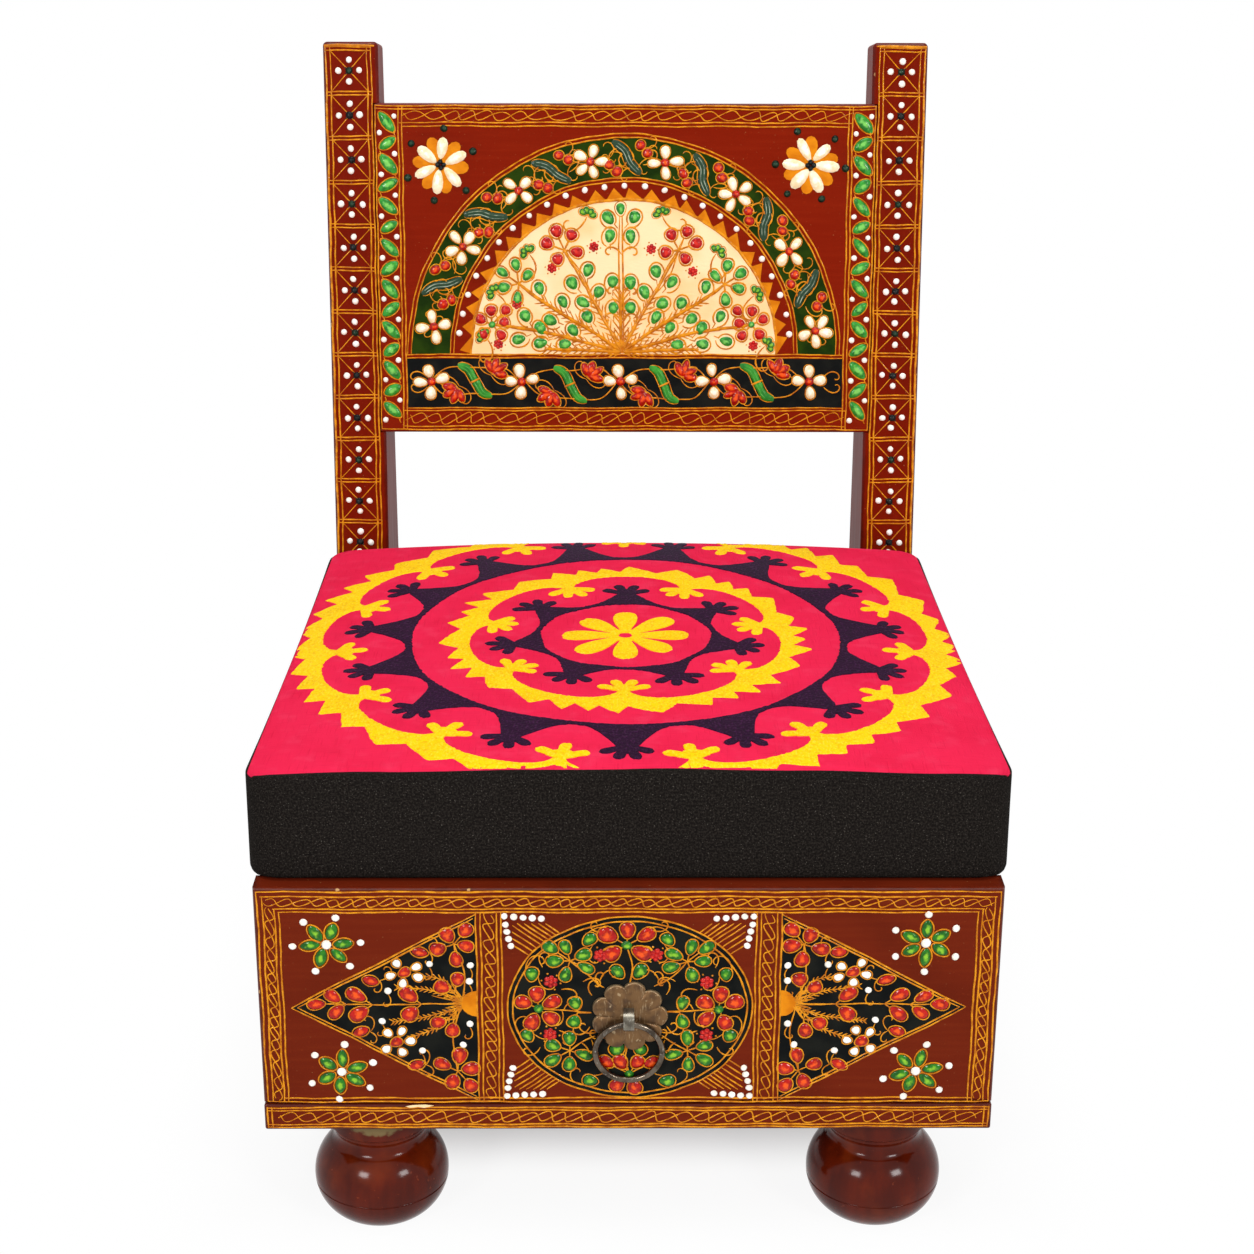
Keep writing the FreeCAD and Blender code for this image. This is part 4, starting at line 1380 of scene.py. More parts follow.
    def corner_rays(self) -> None:
        """An angle of white dots in each corner beside the roundel, with slanted hatching to the ring."""
        for side in BOTH:
            for top, level in self.dot_rows:
                row = [(79.6 - 5.9 * k, level - 0.4 * top * k) for k in range(5)]
                row += [(79 - 1.1 * k, level - top * (6 + 5 * k)) for k in range(4)]
                for place in mirrored(row, side):
                    self.dot(Paint.WHITE, place, 2.3)
                slant = atan2(-0.74 * top, -side)
                for along in (3 + 4.6 * k for k in range(-4, 5)):
                    start = (side * (74.5 - max(along, 0)), level - top * (5 - min(along, 0)))
                    end = self.ring_hit(start, slant)
                    if end is not None:
                        self.line([start, end], 1.15)

    def draw(self) -> None:
        """Draw everything on the drawer front."""
        self.border()
        for x, y, turn in self.stars:
            self.star((x, y), turn)
        for side in BOTH:
            self.triangle(side)
        self.roundel()
        self.corner_rays()


@dataclass
class BackrestPaintwork(Paintwork):
    """Backrest panel: leaf borders, braids, a half-round garland over a tree, and a flower vine below."""

    levels: Path = (
        (258.2, 197), (255.9, 197), (245.4, 178), (242.6, 176), (19.8, 176), (17.7, 178), (4.8, 178),
        (2.2, 197))
    uprights: Triple = (196.6, 178.7, 175.8)
    arch_middle: Point = (-0.8, 63.5)
    arch_steps: int = 60
    outer_arch: Point = (173.5, 170.5)
    inner_arch: Point = (139.5, 136.7)
    dot_ring: float = 133.4
    teeth_ring: Point = (123.3, 131.8)
    teeth: int = 26
    tree_middle: float = -2.9
    bead_size: Point = (11.2, 8.8)
    leaf_row: float = 187.6
    leaf_top: float = 245.5
    leaf_pitch: float = 16.25
    leaf_count: int = 15
    garland_radius: float = 154.5
    garland_flowers: Tuple[float, ...] = (7, 32, 55, 78, 100, 123, 146.5, 172)
    garland_curls: Tuple[Sequence[float], ...] = (
        (163, 1.5, 1, 1), (160, 4.2, -1, -1), (150, -4.6, -1, 1), (146, -1.5, 1, -1))
    vine_level: float = 41
    vine_flowers: Tuple[float, ...] = (-156.5, -83, -3.5, 71.5, 148.5)
    vine_leaves: Tuple[Tuple[Point, Point], ...] = (
        ((-134.5, 54.4), (-107.4, 29.4)), ((-57.3, 52.3), (-30.7, 25.4)), ((19.2, 53), (43.6, 25.5)),
        ((92.5, 54.7), (120.4, 27.2)))
    corner_flowers: Tuple[Triple, ...] = ((-146, 212.7, 18), (146, 212.7, -8))
    tree_sprays: Tuple[Spray, ...] = (
        Spray((24, 109), (45.6, 146), ((39.5, 157.8), (51.7, 160.8), (59.1, 151.8), (51, 139.4),
            (35.6, 144.4)), Paint.CRIMSON, 9.6, 8.8),
        Spray((63.3, 105.7), (82, 119.4), ((75.3, 126), (84.8, 134.4), (95.2, 128), (93.4, 116.4),
            (83, 107.6)), Paint.JADE, 10.6, 7.8),
        Spray((54.8, 79.6), (104, 87.3), ((92.6, 98.2), (94.6, 88.4), (104.5, 98), (113, 91.5), (97, 79),
            (111, 79.6)), Paint.CRIMSON, 8.8, 8.2, Paint.JADE))
    tree_leaves: Tuple[Triple, ...] = (
        (17.6, 112.6, 1.9), (26.8, 129, 1.8), (39.6, 121, 1), (31.3, 104.8, 0.6), (47.8, 104.6, 1.2),
        (55.7, 90.8, 0.5), (28, 92.4, 1), (38, 83.6, 0.9), (65.4, 84.9, 1), (78.3, 93.2, 1.2),
        (83.7, 74.6, -0.2), (65.5, 71.6, -0.2), (66, 117, 1.3), (45, 71, -0.1))
    stem_leaves: Tuple[Triple, ...] = ((7.4, 101, 1.7), (7.6, 122, 1.7), (8.6, 157.5, 1.7), (9.6, 172.4, 1))
    tree_stems: Tuple[Path, ...] = (
        ((1, 66), (9, 82), (24, 109), (45.6, 146)), ((1, 65.5), (26, 83), (63.3, 105.7), (82, 119.4)),
        ((1, 65), (26, 72), (54.8, 79.6), (104, 87.3)), ((1, 64.6), (34, 67), (62, 67)))
    loose_berries: Path = (
        (-24.6, 148.5), (21, 147), (-58.6, 132.3), (53.9, 129), (-86.3, 103), (-101.8, 71.6), (103.1, 70.6))
    sprigs: Tuple[Triple, ...] = (
        (29, 173, 1.9), (72.6, 143.9, 0.9), (103.1, 110.5, 0.5), (-76.5, 143.3, 2.3), (-112.5, 77.1, 2.4),
        (-30.6, 172.7, 1.3), (-103, 112, 2.6), (113, 70, 0.6))

    def polar(self, radius: float, degrees: float) -> Point:
        """A point round the middle of the arch."""
        return ahead(self.arch_middle, radians(degrees), radius)

    def half_ring(self, inner: float, outer: float) -> List[Point]:
        """Outline of a half ring round the middle of the arch."""
        angles = [180 * k / self.arch_steps for k in range(self.arch_steps + 1)]
        return [self.polar(outer, a) for a in angles] + [self.polar(inner, a) for a in reversed(angles)]

    def border(self) -> None:
        """Ruled lines and braids at the top and bottom, and the leaf borders at the sides."""
        for level, reach in self.levels:
            self.ruled((-reach, level), (reach, level))
        self.braid((-176, 250.7), (176, 250.7), 3.6, 14.4)
        self.braid((-176, 11.3), (176, 11.3), 4.2, 13)
        for side in BOTH:
            for across in self.uprights:
                self.ruled((side * across, 2), (side * across, 258))
            row = side * self.leaf_row
            self.dot(Paint.WHITE, (row + 5.6, self.leaf_top + 5), 2.1)
            for step in range(self.leaf_count):
                level = self.leaf_top - self.leaf_pitch * step
                lean, turn, long = (-1, 0.62, 16.2) if step % 2 else (1, -0.80, 19)
                self.daub(Form.LEAF, Paint.JADE, (row, level), turn, long, 8.2, 0.5)
                self.dot(Paint.WHITE, (row - lean * 5.6, level - 0.5 * self.leaf_pitch), 2.2)
                tick = ((6.2, 6), (5.4, 8.2), (6.4, 10.6))
                self.line([(row + lean * x, level - y) for x, y in tick], 1.2)

    def arches(self) -> None:
        """The green garland ring, the toothed ring with its dots, and the ivory half moon."""
        root, tip = self.teeth_ring
        moon = [self.polar(root, 180 * k / self.arch_steps) for k in range(self.arch_steps + 1)]
        self.ground(Paint.GREEN_GROUND, self.half_ring(self.inner_arch[0], self.outer_arch[1]))
        self.ground(Paint.IVORY_GROUND, moon)
        for radius in (*self.outer_arch, *self.inner_arch, root):
            self.arc(self.arch_middle, (radius, radius), 0, 180)
        self.arc(self.arch_middle, (root - 0.8, root - 0.8), 0, 180, 2.2)
        for tooth in range(self.teeth):
            start, end = (180 * (tooth + share) / self.teeth for share in (0.02, 0.98))
            lean = 180 * (tooth + self.hand.uniform(0.4, 0.85)) / self.teeth
            corners = [self.polar(root, start), self.polar(root, end), self.polar(tip, lean)]
            self.ground(Paint.OCHRE_GROUND, corners, 0.2)
            if tooth < self.teeth - 1:
                self.dot(Paint.WHITE, self.polar(self.dot_ring, end), 2.4)
        for level in (62.9, 60.4):
            self.ruled((-175, level), (175, level))

    def garland(self) -> None:
        """White flowers in the green ring, long dark leaves between them, berries and tendrils."""
        for number, angle in enumerate(self.garland_flowers):
            place = self.polar(self.garland_radius, angle)
            first, count = (20, 4) if number % 2 else (50, 5)
            self.blossom(place, [angle + first + 360 / count * k for k in range(count)], 8.4, (10.8, 7.2))
            close = 0.6 if number in (0, len(self.garland_flowers) - 1) else 1
            for turn, side, size in ((70, 1, 15), (-110, 1, 15), (105, -1, 12), (-75, -1, 12)):
                self.curl(place, radians(angle + turn), close * size, side)
        for first, second in zip(self.garland_flowers, self.garland_flowers[1:]):
            middle = (first + second) / 2
            spine = [self.polar(r, middle + a) for r, a in ((168, 4.4), (160, 1), (150, -1), (142.5, -4.4))]
            # Dark leaves with pale mint streaks painted on as highlights.
            self.ribbon(spine, 7.4, Paint.BOTTLE, Paint.MINT)
            for radius, turn, way, side in self.garland_curls:
                self.curl(self.polar(radius, middle + turn), radians(middle + 90 * way), 10, side, 1.2)
            for radius, turn in ((162, -4.4), (147.5, 4.4)):
                for step in BOTH:
                    spot = self.polar(radius + 2.8 * step, middle + turn + 1.1 * step)
                    self.daub(Form.DOT, Paint.RED, spot, radians(middle) + step, 8, 7.2, 0.5)
                away = 1 if turn > 0 else -1
                for shift, side in ((turn, -away), (-0.4 * turn, away)):
                    self.curl(self.polar(radius, middle + shift), radians(middle + 90 * away), 9, side)

    def vine(self) -> None:
        """White flowers on an undulating ochre vine over a black band, with green leaves and tulips."""
        self.ground(Paint.BLACK_GROUND, [(-175, 20.6), (175, 20.6), (175, 60), (-175, 60)])
        level = self.vine_level
        for x in self.vine_flowers:
            self.blossom((x, level), (12, 97, 178, 268), 8.8, (10.4, 7.8))
        for (x0, y0), (x1, y1) in self.vine_leaves:
            mx, my = (x0 + x1) / 2, (y0 + y1) / 2
            wide, high = x1 - x0, y1 - y0
            spine = [(x0, y0), (x0 + 0.30 * wide, y0 + 0.14 * high), (mx, my),
                     (x0 + 0.70 * wide, y0 + 0.88 * high), (x1, y1)]
            # Green leaves with lime streaks painted on as highlights.
            self.ribbon(spine, 7.6, Paint.LEAF, Paint.LIME)
            self.line([(mx - 4.4, my - 2), (mx + 4.4, my + 2)], 1.8, False, 0.6, Paint.OCHRE, self.ROUND, 0.6)
            self.tulip((mx + 15, my + 7), 0.9)
            self.tulip((mx - 15, my - 7), 4)
            self.curve([(x0 - 22, level + 1), (x0 - 12, y0 - 4), (x0, y0 - 1.5), (x0 + 13, y0 - 2),
                        (mx + 24, level + 11), (mx + 36, level)], 1.2)
            self.curve([(x1 + 24, level - 1), (x1 + 13, y1 + 3), (x1, y1 + 1.5), (x1 - 13, y1 + 2),
                        (mx - 24, level - 11), (mx - 36, level)], 1.2)
        for side in BOTH:
            for tall in BOTH:
                heading = (0 if side > 0 else pi) + side * tall * 0.9
                self.curl((side * 160, level + tall * 4), heading, 9, -side * tall, 1.2)

    def tulip(self, place: Point, turn: float) -> None:
        """Draw a red tulip of four pointed petals with ochre tendrils.

        Args:
            place: Where the petals meet.
            turn: Where it points, in radians.
        """
        for spread, long in ((-1.15, 12.5), (1.15, 12.5), (-0.4, 13.5), (0.4, 13.5)):
            heading = turn + spread
            self.daub(Form.LEAF, Paint.RED, ahead(place, heading, 5.8), heading, long, 6.6, 0.4)
        for side in BOTH:
            self.curl(ahead(place, turn, -3), turn + side * 2, 11, -side)

    def tree(self) -> None:
        """The tree on the ivory half moon: feathered stems, green leaves, red flowers and berries."""
        middle = self.tree_middle
        for shift in (-1.5, 1.5):
            self.line([(middle + shift, 66), (middle + shift - 0.4, 110), (middle + shift - 0.6, 150),
                       (middle + 0.6 * shift - 0.8, 174)], 1.7)
        self.daub(Form.PETAL, Paint.JADE, (middle - 1.2, 179), 0.5 * pi, 10.4, 7.6, 1.1)
        root = [on_oval((middle, 64), (11.5, 9.5), pi * k / 8) for k in range(9)]
        self.ground(Paint.OCHRE_GROUND, root, 0.3)
        self.feather([(middle, 68), (middle - 0.4, 112)], 13, 5.2, 2.8, 1.5)
        for side in BOTH:
            for stem in self.tree_stems:
                path = [(middle + side * x, y) for x, y in stem]
                self.line(smooth_path(path, 2.5), 3)
                self.feather(path[:3], 9, 4.8, 1.4, 1.3)
            for x, y, heading in (*self.tree_leaves, *self.stem_leaves):
                place = (middle + side * (x + self.hand.uniform(-1.2, 1.2)), y + self.hand.uniform(-1.2, 1.2))
                self.bead(place, heading if side > 0 else pi - heading, side)
            for motif in self.tree_sprays:
                self.spray(motif.placed(side, middle), 0.9, 1.6)
            for level, size in ((143, 9), (112, 8), (90, 9)):
                self.curl((middle, level), pi / 2 - side * 0.5, size, -side, 1.7)
        for berry in self.loose_berries:
            self.cluster(Paint.CRIMSON, berry, 3.9)
        for x, y, heading in self.sprigs:
            for turn in (heading + lean for lean in (-1.1, -0.4, 0.4, 1.1)):
                self.daub(Form.PETAL, Paint.GREEN, ahead((x, y), turn, 4.6), turn, 6.4, 5, 0.5)
            self.curl((x, y), heading + pi, 14, 1 if x > 0 else -1, 1.6)

    def bead(self, place: Point, heading: float, side: float) -> None:
        """Draw a thick green leaf inside a loose ochre loop that winds off the stem and round it.

        Args:
            place: The leaf's middle.
            heading: Where its tip points, in radians.
            side: 1 for a loop that winds to the right, -1 to the left.
        """
        long, wide = self.bead_size
        steps = 18
        self.daub(Form.PETAL, Paint.JADE, place, heading, long, wide)
        loop = [ahead(place, heading, -(0.5 * long + 5), side * 2)]
        for share in (step / steps for step in range(steps + 1)):
            turn = pi - side * (0.25 + 5.9 * share)
            gap = 1.2 + 1.9 * share ** 3
            loop.append(ahead(place, heading, *on_oval((0, 0), (0.5 * long + gap, 0.5 * wide + gap), turn)))
        self.line(loop, 1.6)

    def corner_flower(self, place: Point, turn: float) -> None:
        """Draw cream petals over flat ochre ones, with bottle green beads beyond the tips.

        Args:
            place: The flower's middle.
            turn: Where its first cream petal points, in degrees.
        """
        petal = [(12.5 + 20 * v, 10.4 * u) for u, v in Form.PETAL.outline(14)]
        for step in range(6):
            heading = TAU * (step + 0.5 + self.hand.uniform(-0.1, 0.1)) / 6 + radians(turn)
            self.ground(Paint.OCHRE_GROUND, [ahead(place, heading, *point) for point in petal], 0.2)
        for step in range(6):
            heading = TAU * step / 6 + radians(turn + self.hand.uniform(-6, 6))
            self.daub(Form.PETAL, Paint.CREAM, ahead(place, heading, 13), heading, 18.5, 8.8, 0, 0.15)
            self.dot(Paint.BOTTLE, ahead(place, heading, 28), 3)
        for step in range(4):
            self.dot(Paint.SOOT, ahead(place, 1.57 * step, 2.4), 2, 0.6)

    def draw(self) -> None:
        """Draw everything on the panel."""
        self.border()
        self.arches()
        self.garland()
        self.vine()
        self.tree()
        for x, y, turn in self.corner_flowers:
            self.corner_flower((x, y), turn)


@dataclass
class PostPaintwork(Paintwork):
    """Both posts: a ladder of crossed cells, each with a dark heart and four white dots."""

    rules: Tuple[float, ...] = (234.2, 230.6, 202.1, 198.9)
    top: float = 303
    pitch: float = 34.1
    cells: int = 13
    foot: float = -163
    rung: float = 2.8

    def draw(self) -> None:
        """Draw the ladders from the top down."""
        outer, left, right, inner = self.rules
        across = (left + right) / 2
        for side in BOTH:
            for rule in self.rules:
                width = 1.9 if rule == outer else 1.4
                self.ruled((side * rule, self.foot), (side * rule, self.top + 0.6), width)
            self.ruled((side * 235, self.top + 0.9), (side * 196, self.top + 0.9), 2.4)
            for cell in range(self.cells):
                top = self.top - self.pitch * cell - self.rung
                low = top - self.pitch + self.rung
                heart = (side * across, (top + low) / 2)
                for level in (top + 2.6, top):
                    self.ruled((side * outer, level), (side * inner, level), 1.35)
                for start, end in ((left, right), (right, left)):
                    self.line([(side * start, top), heart, (side * end, low)], 1.05)
                self.dot(Paint.SOOT if cell % 3 else Paint.BOTTLE, heart, 2.9, 0.2)
                for lean in (0.7, 2.4):
                    cross = [ahead(heart, lean, -4.4), ahead(heart, lean, 4.4)]
                    self.line(cross, 1.3, False, 0.4, Paint.SOOT, self.ROUND, self.OVERLAP)
                for x, y in ((0, 8.6), (0, -8.6), (8.2, 0), (-8.2, 0)):
                    jolt = self.hand.uniform(-0.6, 0.6)
                    self.dot(Paint.WHITE, (side * (across + x) + jolt, heart[1] + y - jolt), 2.5)


@dataclass
class BasePaintwork(Paintwork):
    """Front edge of the base board: a braid between ruled lines, and one spot where the paint is gone."""

    chip: Point = (-137.5, 8.4)
    chip_outline: Path = (
        (-9, 0.2), (-6, -0.9), (-1, -0.6), (3, -1.5), (6, -0.7), (9.5, 0.3), (4, 0.9), (-4, 0.8))

    def draw(self) -> None:
        """Draw the braid, its lines, the end marks and the bare spot."""
        for level in (7.2, 5.2, -5.4, -7.4):
            self.ruled((-238, level), (238, level))
        self.braid((-231, 0), (231, 0), 3.6, 11.2)
        for side in BOTH:
            for across in (238, 235):
                self.ruled((side * across, -8), (side * across, 8))
        x, y = self.chip
        outline = [(x + across, y + up) for across, up in self.chip_outline]
        self.ground(Paint.IVORY_GROUND, outline, 0.45)


@dataclass
class PullRosette:
    """The brass plate behind the ring: nine cupped lobes that rise to a low boss."""

    lobes: int = 9
    notch: float = 0.19
    turn: float = radians(80)
    columns: int = 180
    rows: int = 24

    def build(self) -> None:
        """Make the plate in the place of its CAD node."""
        low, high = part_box("pull_rosette")
        middle = (low + high) / 2
        radius = (high.x - low.x) / 2
        points: List[Triple] = []
        rub: List[float] = []
        for row in range(self.rows + 1):
            for column in range(self.columns):
                angle = TAU * column / self.columns
                crest = abs(cos(0.5 * self.lobes * (angle - self.turn)))
                reach = radius * (1 - self.notch + self.notch * crest ** 0.55)
                share = row / self.rows
                bowl = crest ** 0.5 * sin(pi * min(max((share - 0.50) / 0.50, 0), 1))
                crease = (1 - crest ** 0.45) * min(max((share - 0.52) / 0.4, 0), 1)
                rise = 0.40 + 0.46 * (1 - share ** 1.4) + 0.14 * bowl - 0.20 * crease + 0.24 * share ** 16
                # The outer rim is marked lighter: partly wear, partly a painted highlight.
                rub.append(max(0, (share - 0.93) / 0.07))
                if row == self.rows:
                    rise = 0
                    share = (self.rows - 0.2) / self.rows
                x, z = ahead((middle.x, middle.z), angle, share * reach)
                points.append((x, high.y - (high.y - low.y) * min(rise, 1), z))
        faces: Faces = []
        for first in range(0, self.rows * self.columns, self.columns):
            for column in range(self.columns):
                a, b = first + column, first + (column + 1) % self.columns
                faces.append((a, b, b + self.columns, a + self.columns))
        faces.append(tuple(self.rows * self.columns + column for column in range(self.columns)))
        mesh = mesh_of("pull_plate", points, faces)
        mesh.attributes.new("rub", "FLOAT", "POINT").data.foreach_set("value", rub)
        shell = bmesh.new()
        shell.from_mesh(mesh)
        bmesh.ops.remove_doubles(shell, verts=shell.verts, dist=1e-6)
        bmesh.ops.recalc_face_normals(shell, faces=shell.faces)
        for face in shell.faces:
            face.smooth = len(face.verts) < 5
        shell.to_mesh(mesh)
        shell.free()
        mesh.materials.append(Fitting.BRASS.value.material())
        piece = add_piece("pull_plate", [mesh], "drawer")
        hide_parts("pull_rosette")


@dataclass
class Cushion:
    """The seat cushion: a crowned block of foam in a sewn cover, swelled by a cloth simulation."""

    cell: float = 0.005
    corner: float = 0.022
    slack: float = 0.0018
    crown: float = 0.0004
    drop: float = 0.0100
    bow_front: float = 0.0042
    bow_back: float = 0.0075
    draw: float = 0.0022
    pressure: float = 4
    most_swell: float = 0.003
    last_frame: int = 20
    seam_side: float = 0.0045
    seam_front: float = 0.0085
    seam_back: float = 0.0035
    seam_height: float = 0.0690
    taper: float = 0.0070
    groove: float = 0.0009
    groove_width: float = 0.0022
    foot_gap: float = 0.0001
    cloth_mass: float = 0.3
    stretch_stiffness: float = 18
    shear_stiffness: float = 8
    bend_stiffness: float = 2
    top: BVHTree = field(init=False)

    def __post_init__(self) -> None:
        """Read the room that the CAD solid holds."""
        self.low, self.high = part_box("cushion_cover")

    def plan(self, across: float, along: float, draw: float) -> Point:
        """Where a point of the square from -1 to 1 lies on the cushion's plan, corners rounded.

        Args:
            across: Place from left to right.
            along: Place from front to back.
            draw: How far the middles of the sides are drawn in.

        Returns:
            The point in the shared frame.
        """
        half = [(self.high[axis] - self.low[axis]) / 2 - self.slack for axis in (0, 1)]
        place = [abs(across) * half[0], abs(along) * half[1]]
        over = [(place[axis] - half[axis] + self.corner) / self.corner for axis in (0, 1)]
        if over[0] > 0 and over[1] > 0:
            place[0] = half[0] - self.corner + self.corner * over[0] * sqrt(1 - over[1] ** 2 / 2)
            place[1] = half[1] - self.corner + self.corner * over[1] * sqrt(1 - over[0] ** 2 / 2)
        place[0] -= draw * abs(across) ** 6 * (1 - along ** 2) + self.taper * abs(across) * (1 + along) / 2
        place[1] -= draw * abs(along) ** 6 * (1 - across ** 2)
        return (copysign(place[0], across) + (self.low.x + self.high.x) / 2,
                copysign(place[1], along) + (self.low.y + self.high.y) / 2)

    def block(self) -> Object:
        """The slack block before it swells, a closed grid of squares with its weave map.

        Returns:
            The block, linked to the scene.
        """
        wide = round((self.high.x - self.low.x) / self.cell)
        deep = round((self.high.y - self.low.y) / self.cell)
        tall = round((self.high.z - self.low.z - self.drop) / self.cell)
        edge = self.high.z - self.drop
        keys: Dict[Tuple[int, int, int], int] = {}
        points: List[Triple] = []

        def corner(i: int, j: int, k: int) -> int:
            """Find a point of the grid, or make it on first use.

            Args:
                i: Its place from left to right.
                j: Its place from front to back.
                k: Its place from the bottom up.

            Returns:
                The point's number.
            """
            if (i, j, k) not in keys:
                across, along = 2 * i / wide - 1, 2 * j / deep - 1
                bow = (self.bow_front * (1 - along) + self.bow_back * (1 + along)) / 2 * (1 - across ** 2)
                z = self.low.z + (edge + bow - self.low.z) * k / tall
                if k == tall:
                    z += self.crown * (1 - across ** 4) * (1 - along ** 4)
                keys[(i, j, k)] = len(points)
                points.append((*self.plan(across, along, self.draw * k / tall), z))
            return keys[(i, j, k)]

        faces: Faces = []
        sheet: List[Point] = []
        for i in range(wide):
            for j in range(deep):
                square = ((i, j), (i + 1, j), (i + 1, j + 1), (i, j + 1))
                faces.append(tuple(corner(a, b, tall) for a, b in square))
                faces.append(tuple(corner(a, b, 0) for a, b in reversed(square)))
                sheet += [(a * self.cell, b * self.cell) for a, b in (*square, *reversed(square))]
        rim = [(i, 0) for i in range(wide)] + [(wide, j) for j in range(deep)]
        rim += [(i, deep) for i in range(wide, 0, -1)] + [(0, j) for j in range(deep, 0, -1)]
        for step, (start, end) in enumerate(zip(rim, [*rim[1:], rim[0]])):
            for k in range(tall):
                faces.append((corner(*start, k), corner(*end, k), corner(*end, k + 1), corner(*start, k + 1)))
                square = ((0, 0), (1, 0), (1, 1), (0, 1))
                sheet += [((step + a) * self.cell, (k + b) * self.cell) for a, b in square]
        mesh = mesh_of("seat_cushion", points, faces)
        mesh.uv_layers.new(name="weave").data.foreach_set("uv", [c for spot in sheet for c in spot])
        mesh.polygons.foreach_set("use_smooth", [True] * len(faces))
        block = shown(bpy.data.objects.new("seat_cushion", mesh))
        rims = set(rim)
        held = [number for (i, j, k), number in keys.items() if k == 0 or k == tall and (i, j) in rims]
        block.vertex_groups.new(name="held").add(held, 1, "REPLACE")
        return block

    def swell(self, block: Object) -> None:
        """Blow the block up with a cloth simulation and keep the capped result.

        Args:
            block: The slack block, whose mesh is changed.
        """
        modifier = block.modifiers.new("swell", "CLOTH")
        settings = modifier.settings
        settings.quality = 4
        settings.mass = self.cloth_mass
        settings.tension_stiffness = self.stretch_stiffness
        settings.compression_stiffness = self.stretch_stiffness
        settings.shear_stiffness = self.shear_stiffness
        settings.bending_stiffness = self.bend_stiffness
        settings.use_pressure = True
        settings.uniform_pressure_force = self.pressure
        settings.effector_weights.gravity = 0
        settings.vertex_group_mass = "held"
        modifier.collision_settings.use_collision = False
        modifier.point_cache.frame_start = 1
        modifier.point_cache.frame_end = self.last_frame
        for number in range(1, self.last_frame + 1):
            bpy.context.scene.frame_set(number)
        swollen = evaluated(block)
        block.modifiers.remove(modifier)
        bpy.context.scene.frame_set(1)
        rest = points_of(block.data)
        shift = points_of(swollen) - rest
        bpy.data.meshes.remove(swollen)
        long = np.linalg.norm(shift, axis=1, keepdims=True)
        capped = self.most_swell * np.tanh(long / self.most_swell)
        shift *= capped / np.maximum(long, 1e-9)
        block.data.vertices.foreach_set("co", (rest + shift).ravel())
        LOG.info("seat_cushion: swelled by up to %.1f mm", float(capped.max()) / MM)

    def refine(self, block: Object) -> Mesh:
        """Divide the swollen block once, sew in the seam and mark the top panel.

        Args:
            block: The swollen block, which is used up.

        Returns:
            The finished cover.
        """
        modifier = block.modifiers.new("refine", "SUBSURF")
        modifier.levels = 1
        modifier.render_levels = 1
        mesh = evaluated(block)
        bpy.data.objects.remove(block)
        place = np.clip(points_of(mesh), np.array(self.low) + self.foot_gap, np.array(self.high))
        within = self.panel_depth(place[:, 0], place[:, 1])
        on_top = place[:, 2] > (self.low.z + self.high.z) / 2
        panel = np.minimum(within, place[:, 2] - self.low.z - self.seam_height)
        place[:, 2] -= np.where(on_top, self.groove * np.exp(-(panel / self.groove_width) ** 2), 0)
        mesh.vertices.foreach_set("co", place.ravel())
        mesh.attributes.new("panel", "FLOAT", "POINT").data.foreach_set("value", panel)
        mesh.update()
        mesh.materials.append(CushionCloth().material())
        return mesh

    def panel_depth(self, x: np.ndarray, y: np.ndarray) -> np.ndarray:
        """How far inside the top panel's seam points lie.

        Args:
            x: The points' places from left to right.
            y: Their places from front to back.

        Returns:
            Their distances from the seam, negative outside it.
        """
        wave = 0.0006 * np.sin(x * 61) + 0.0005 * np.sin(x * 23 + 1)
        side = np.minimum(self.high.x - x, x - self.low.x) - self.seam_side
        side = side - self.taper * (y - self.low.y) / (self.high.y - self.low.y)
        ends = np.minimum(y - self.low.y - self.seam_front - wave, self.high.y - self.seam_back - y)
        return np.minimum(side, ends)

    def panel_box(self, inset: float) -> Tuple[Point, Point]:
        """Low and high corner of the top panel, drawn in by an inset."""
        side = self.seam_side + self.taper / 2 + inset
        return ((self.low.x + side, self.low.y + self.seam_front + inset),
                (self.high.x - side, self.high.y - self.seam_back - inset))

    def build(self) -> None:
        """Make the cushion in the place of its CAD solids."""
        block = self.block()
        self.swell(block)
        mesh = self.refine(block)
        self.top = BVHTree.FromPolygons([v.co for v in mesh.vertices], [p.vertices for p in mesh.polygons])
        piece = add_piece("seat_cushion", [mesh], "cushion")
        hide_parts("cushion_cover", "cushion_foam")

    def height(self, x: float, y: float) -> float:
        """Height of the cushion's top at a point of its plan."""
        hit = self.top.ray_cast(Vector((x, y, self.high.z + 0.1)), Vector((0, 0, -1)))[0]
        return hit.z if hit is not None else self.low.z


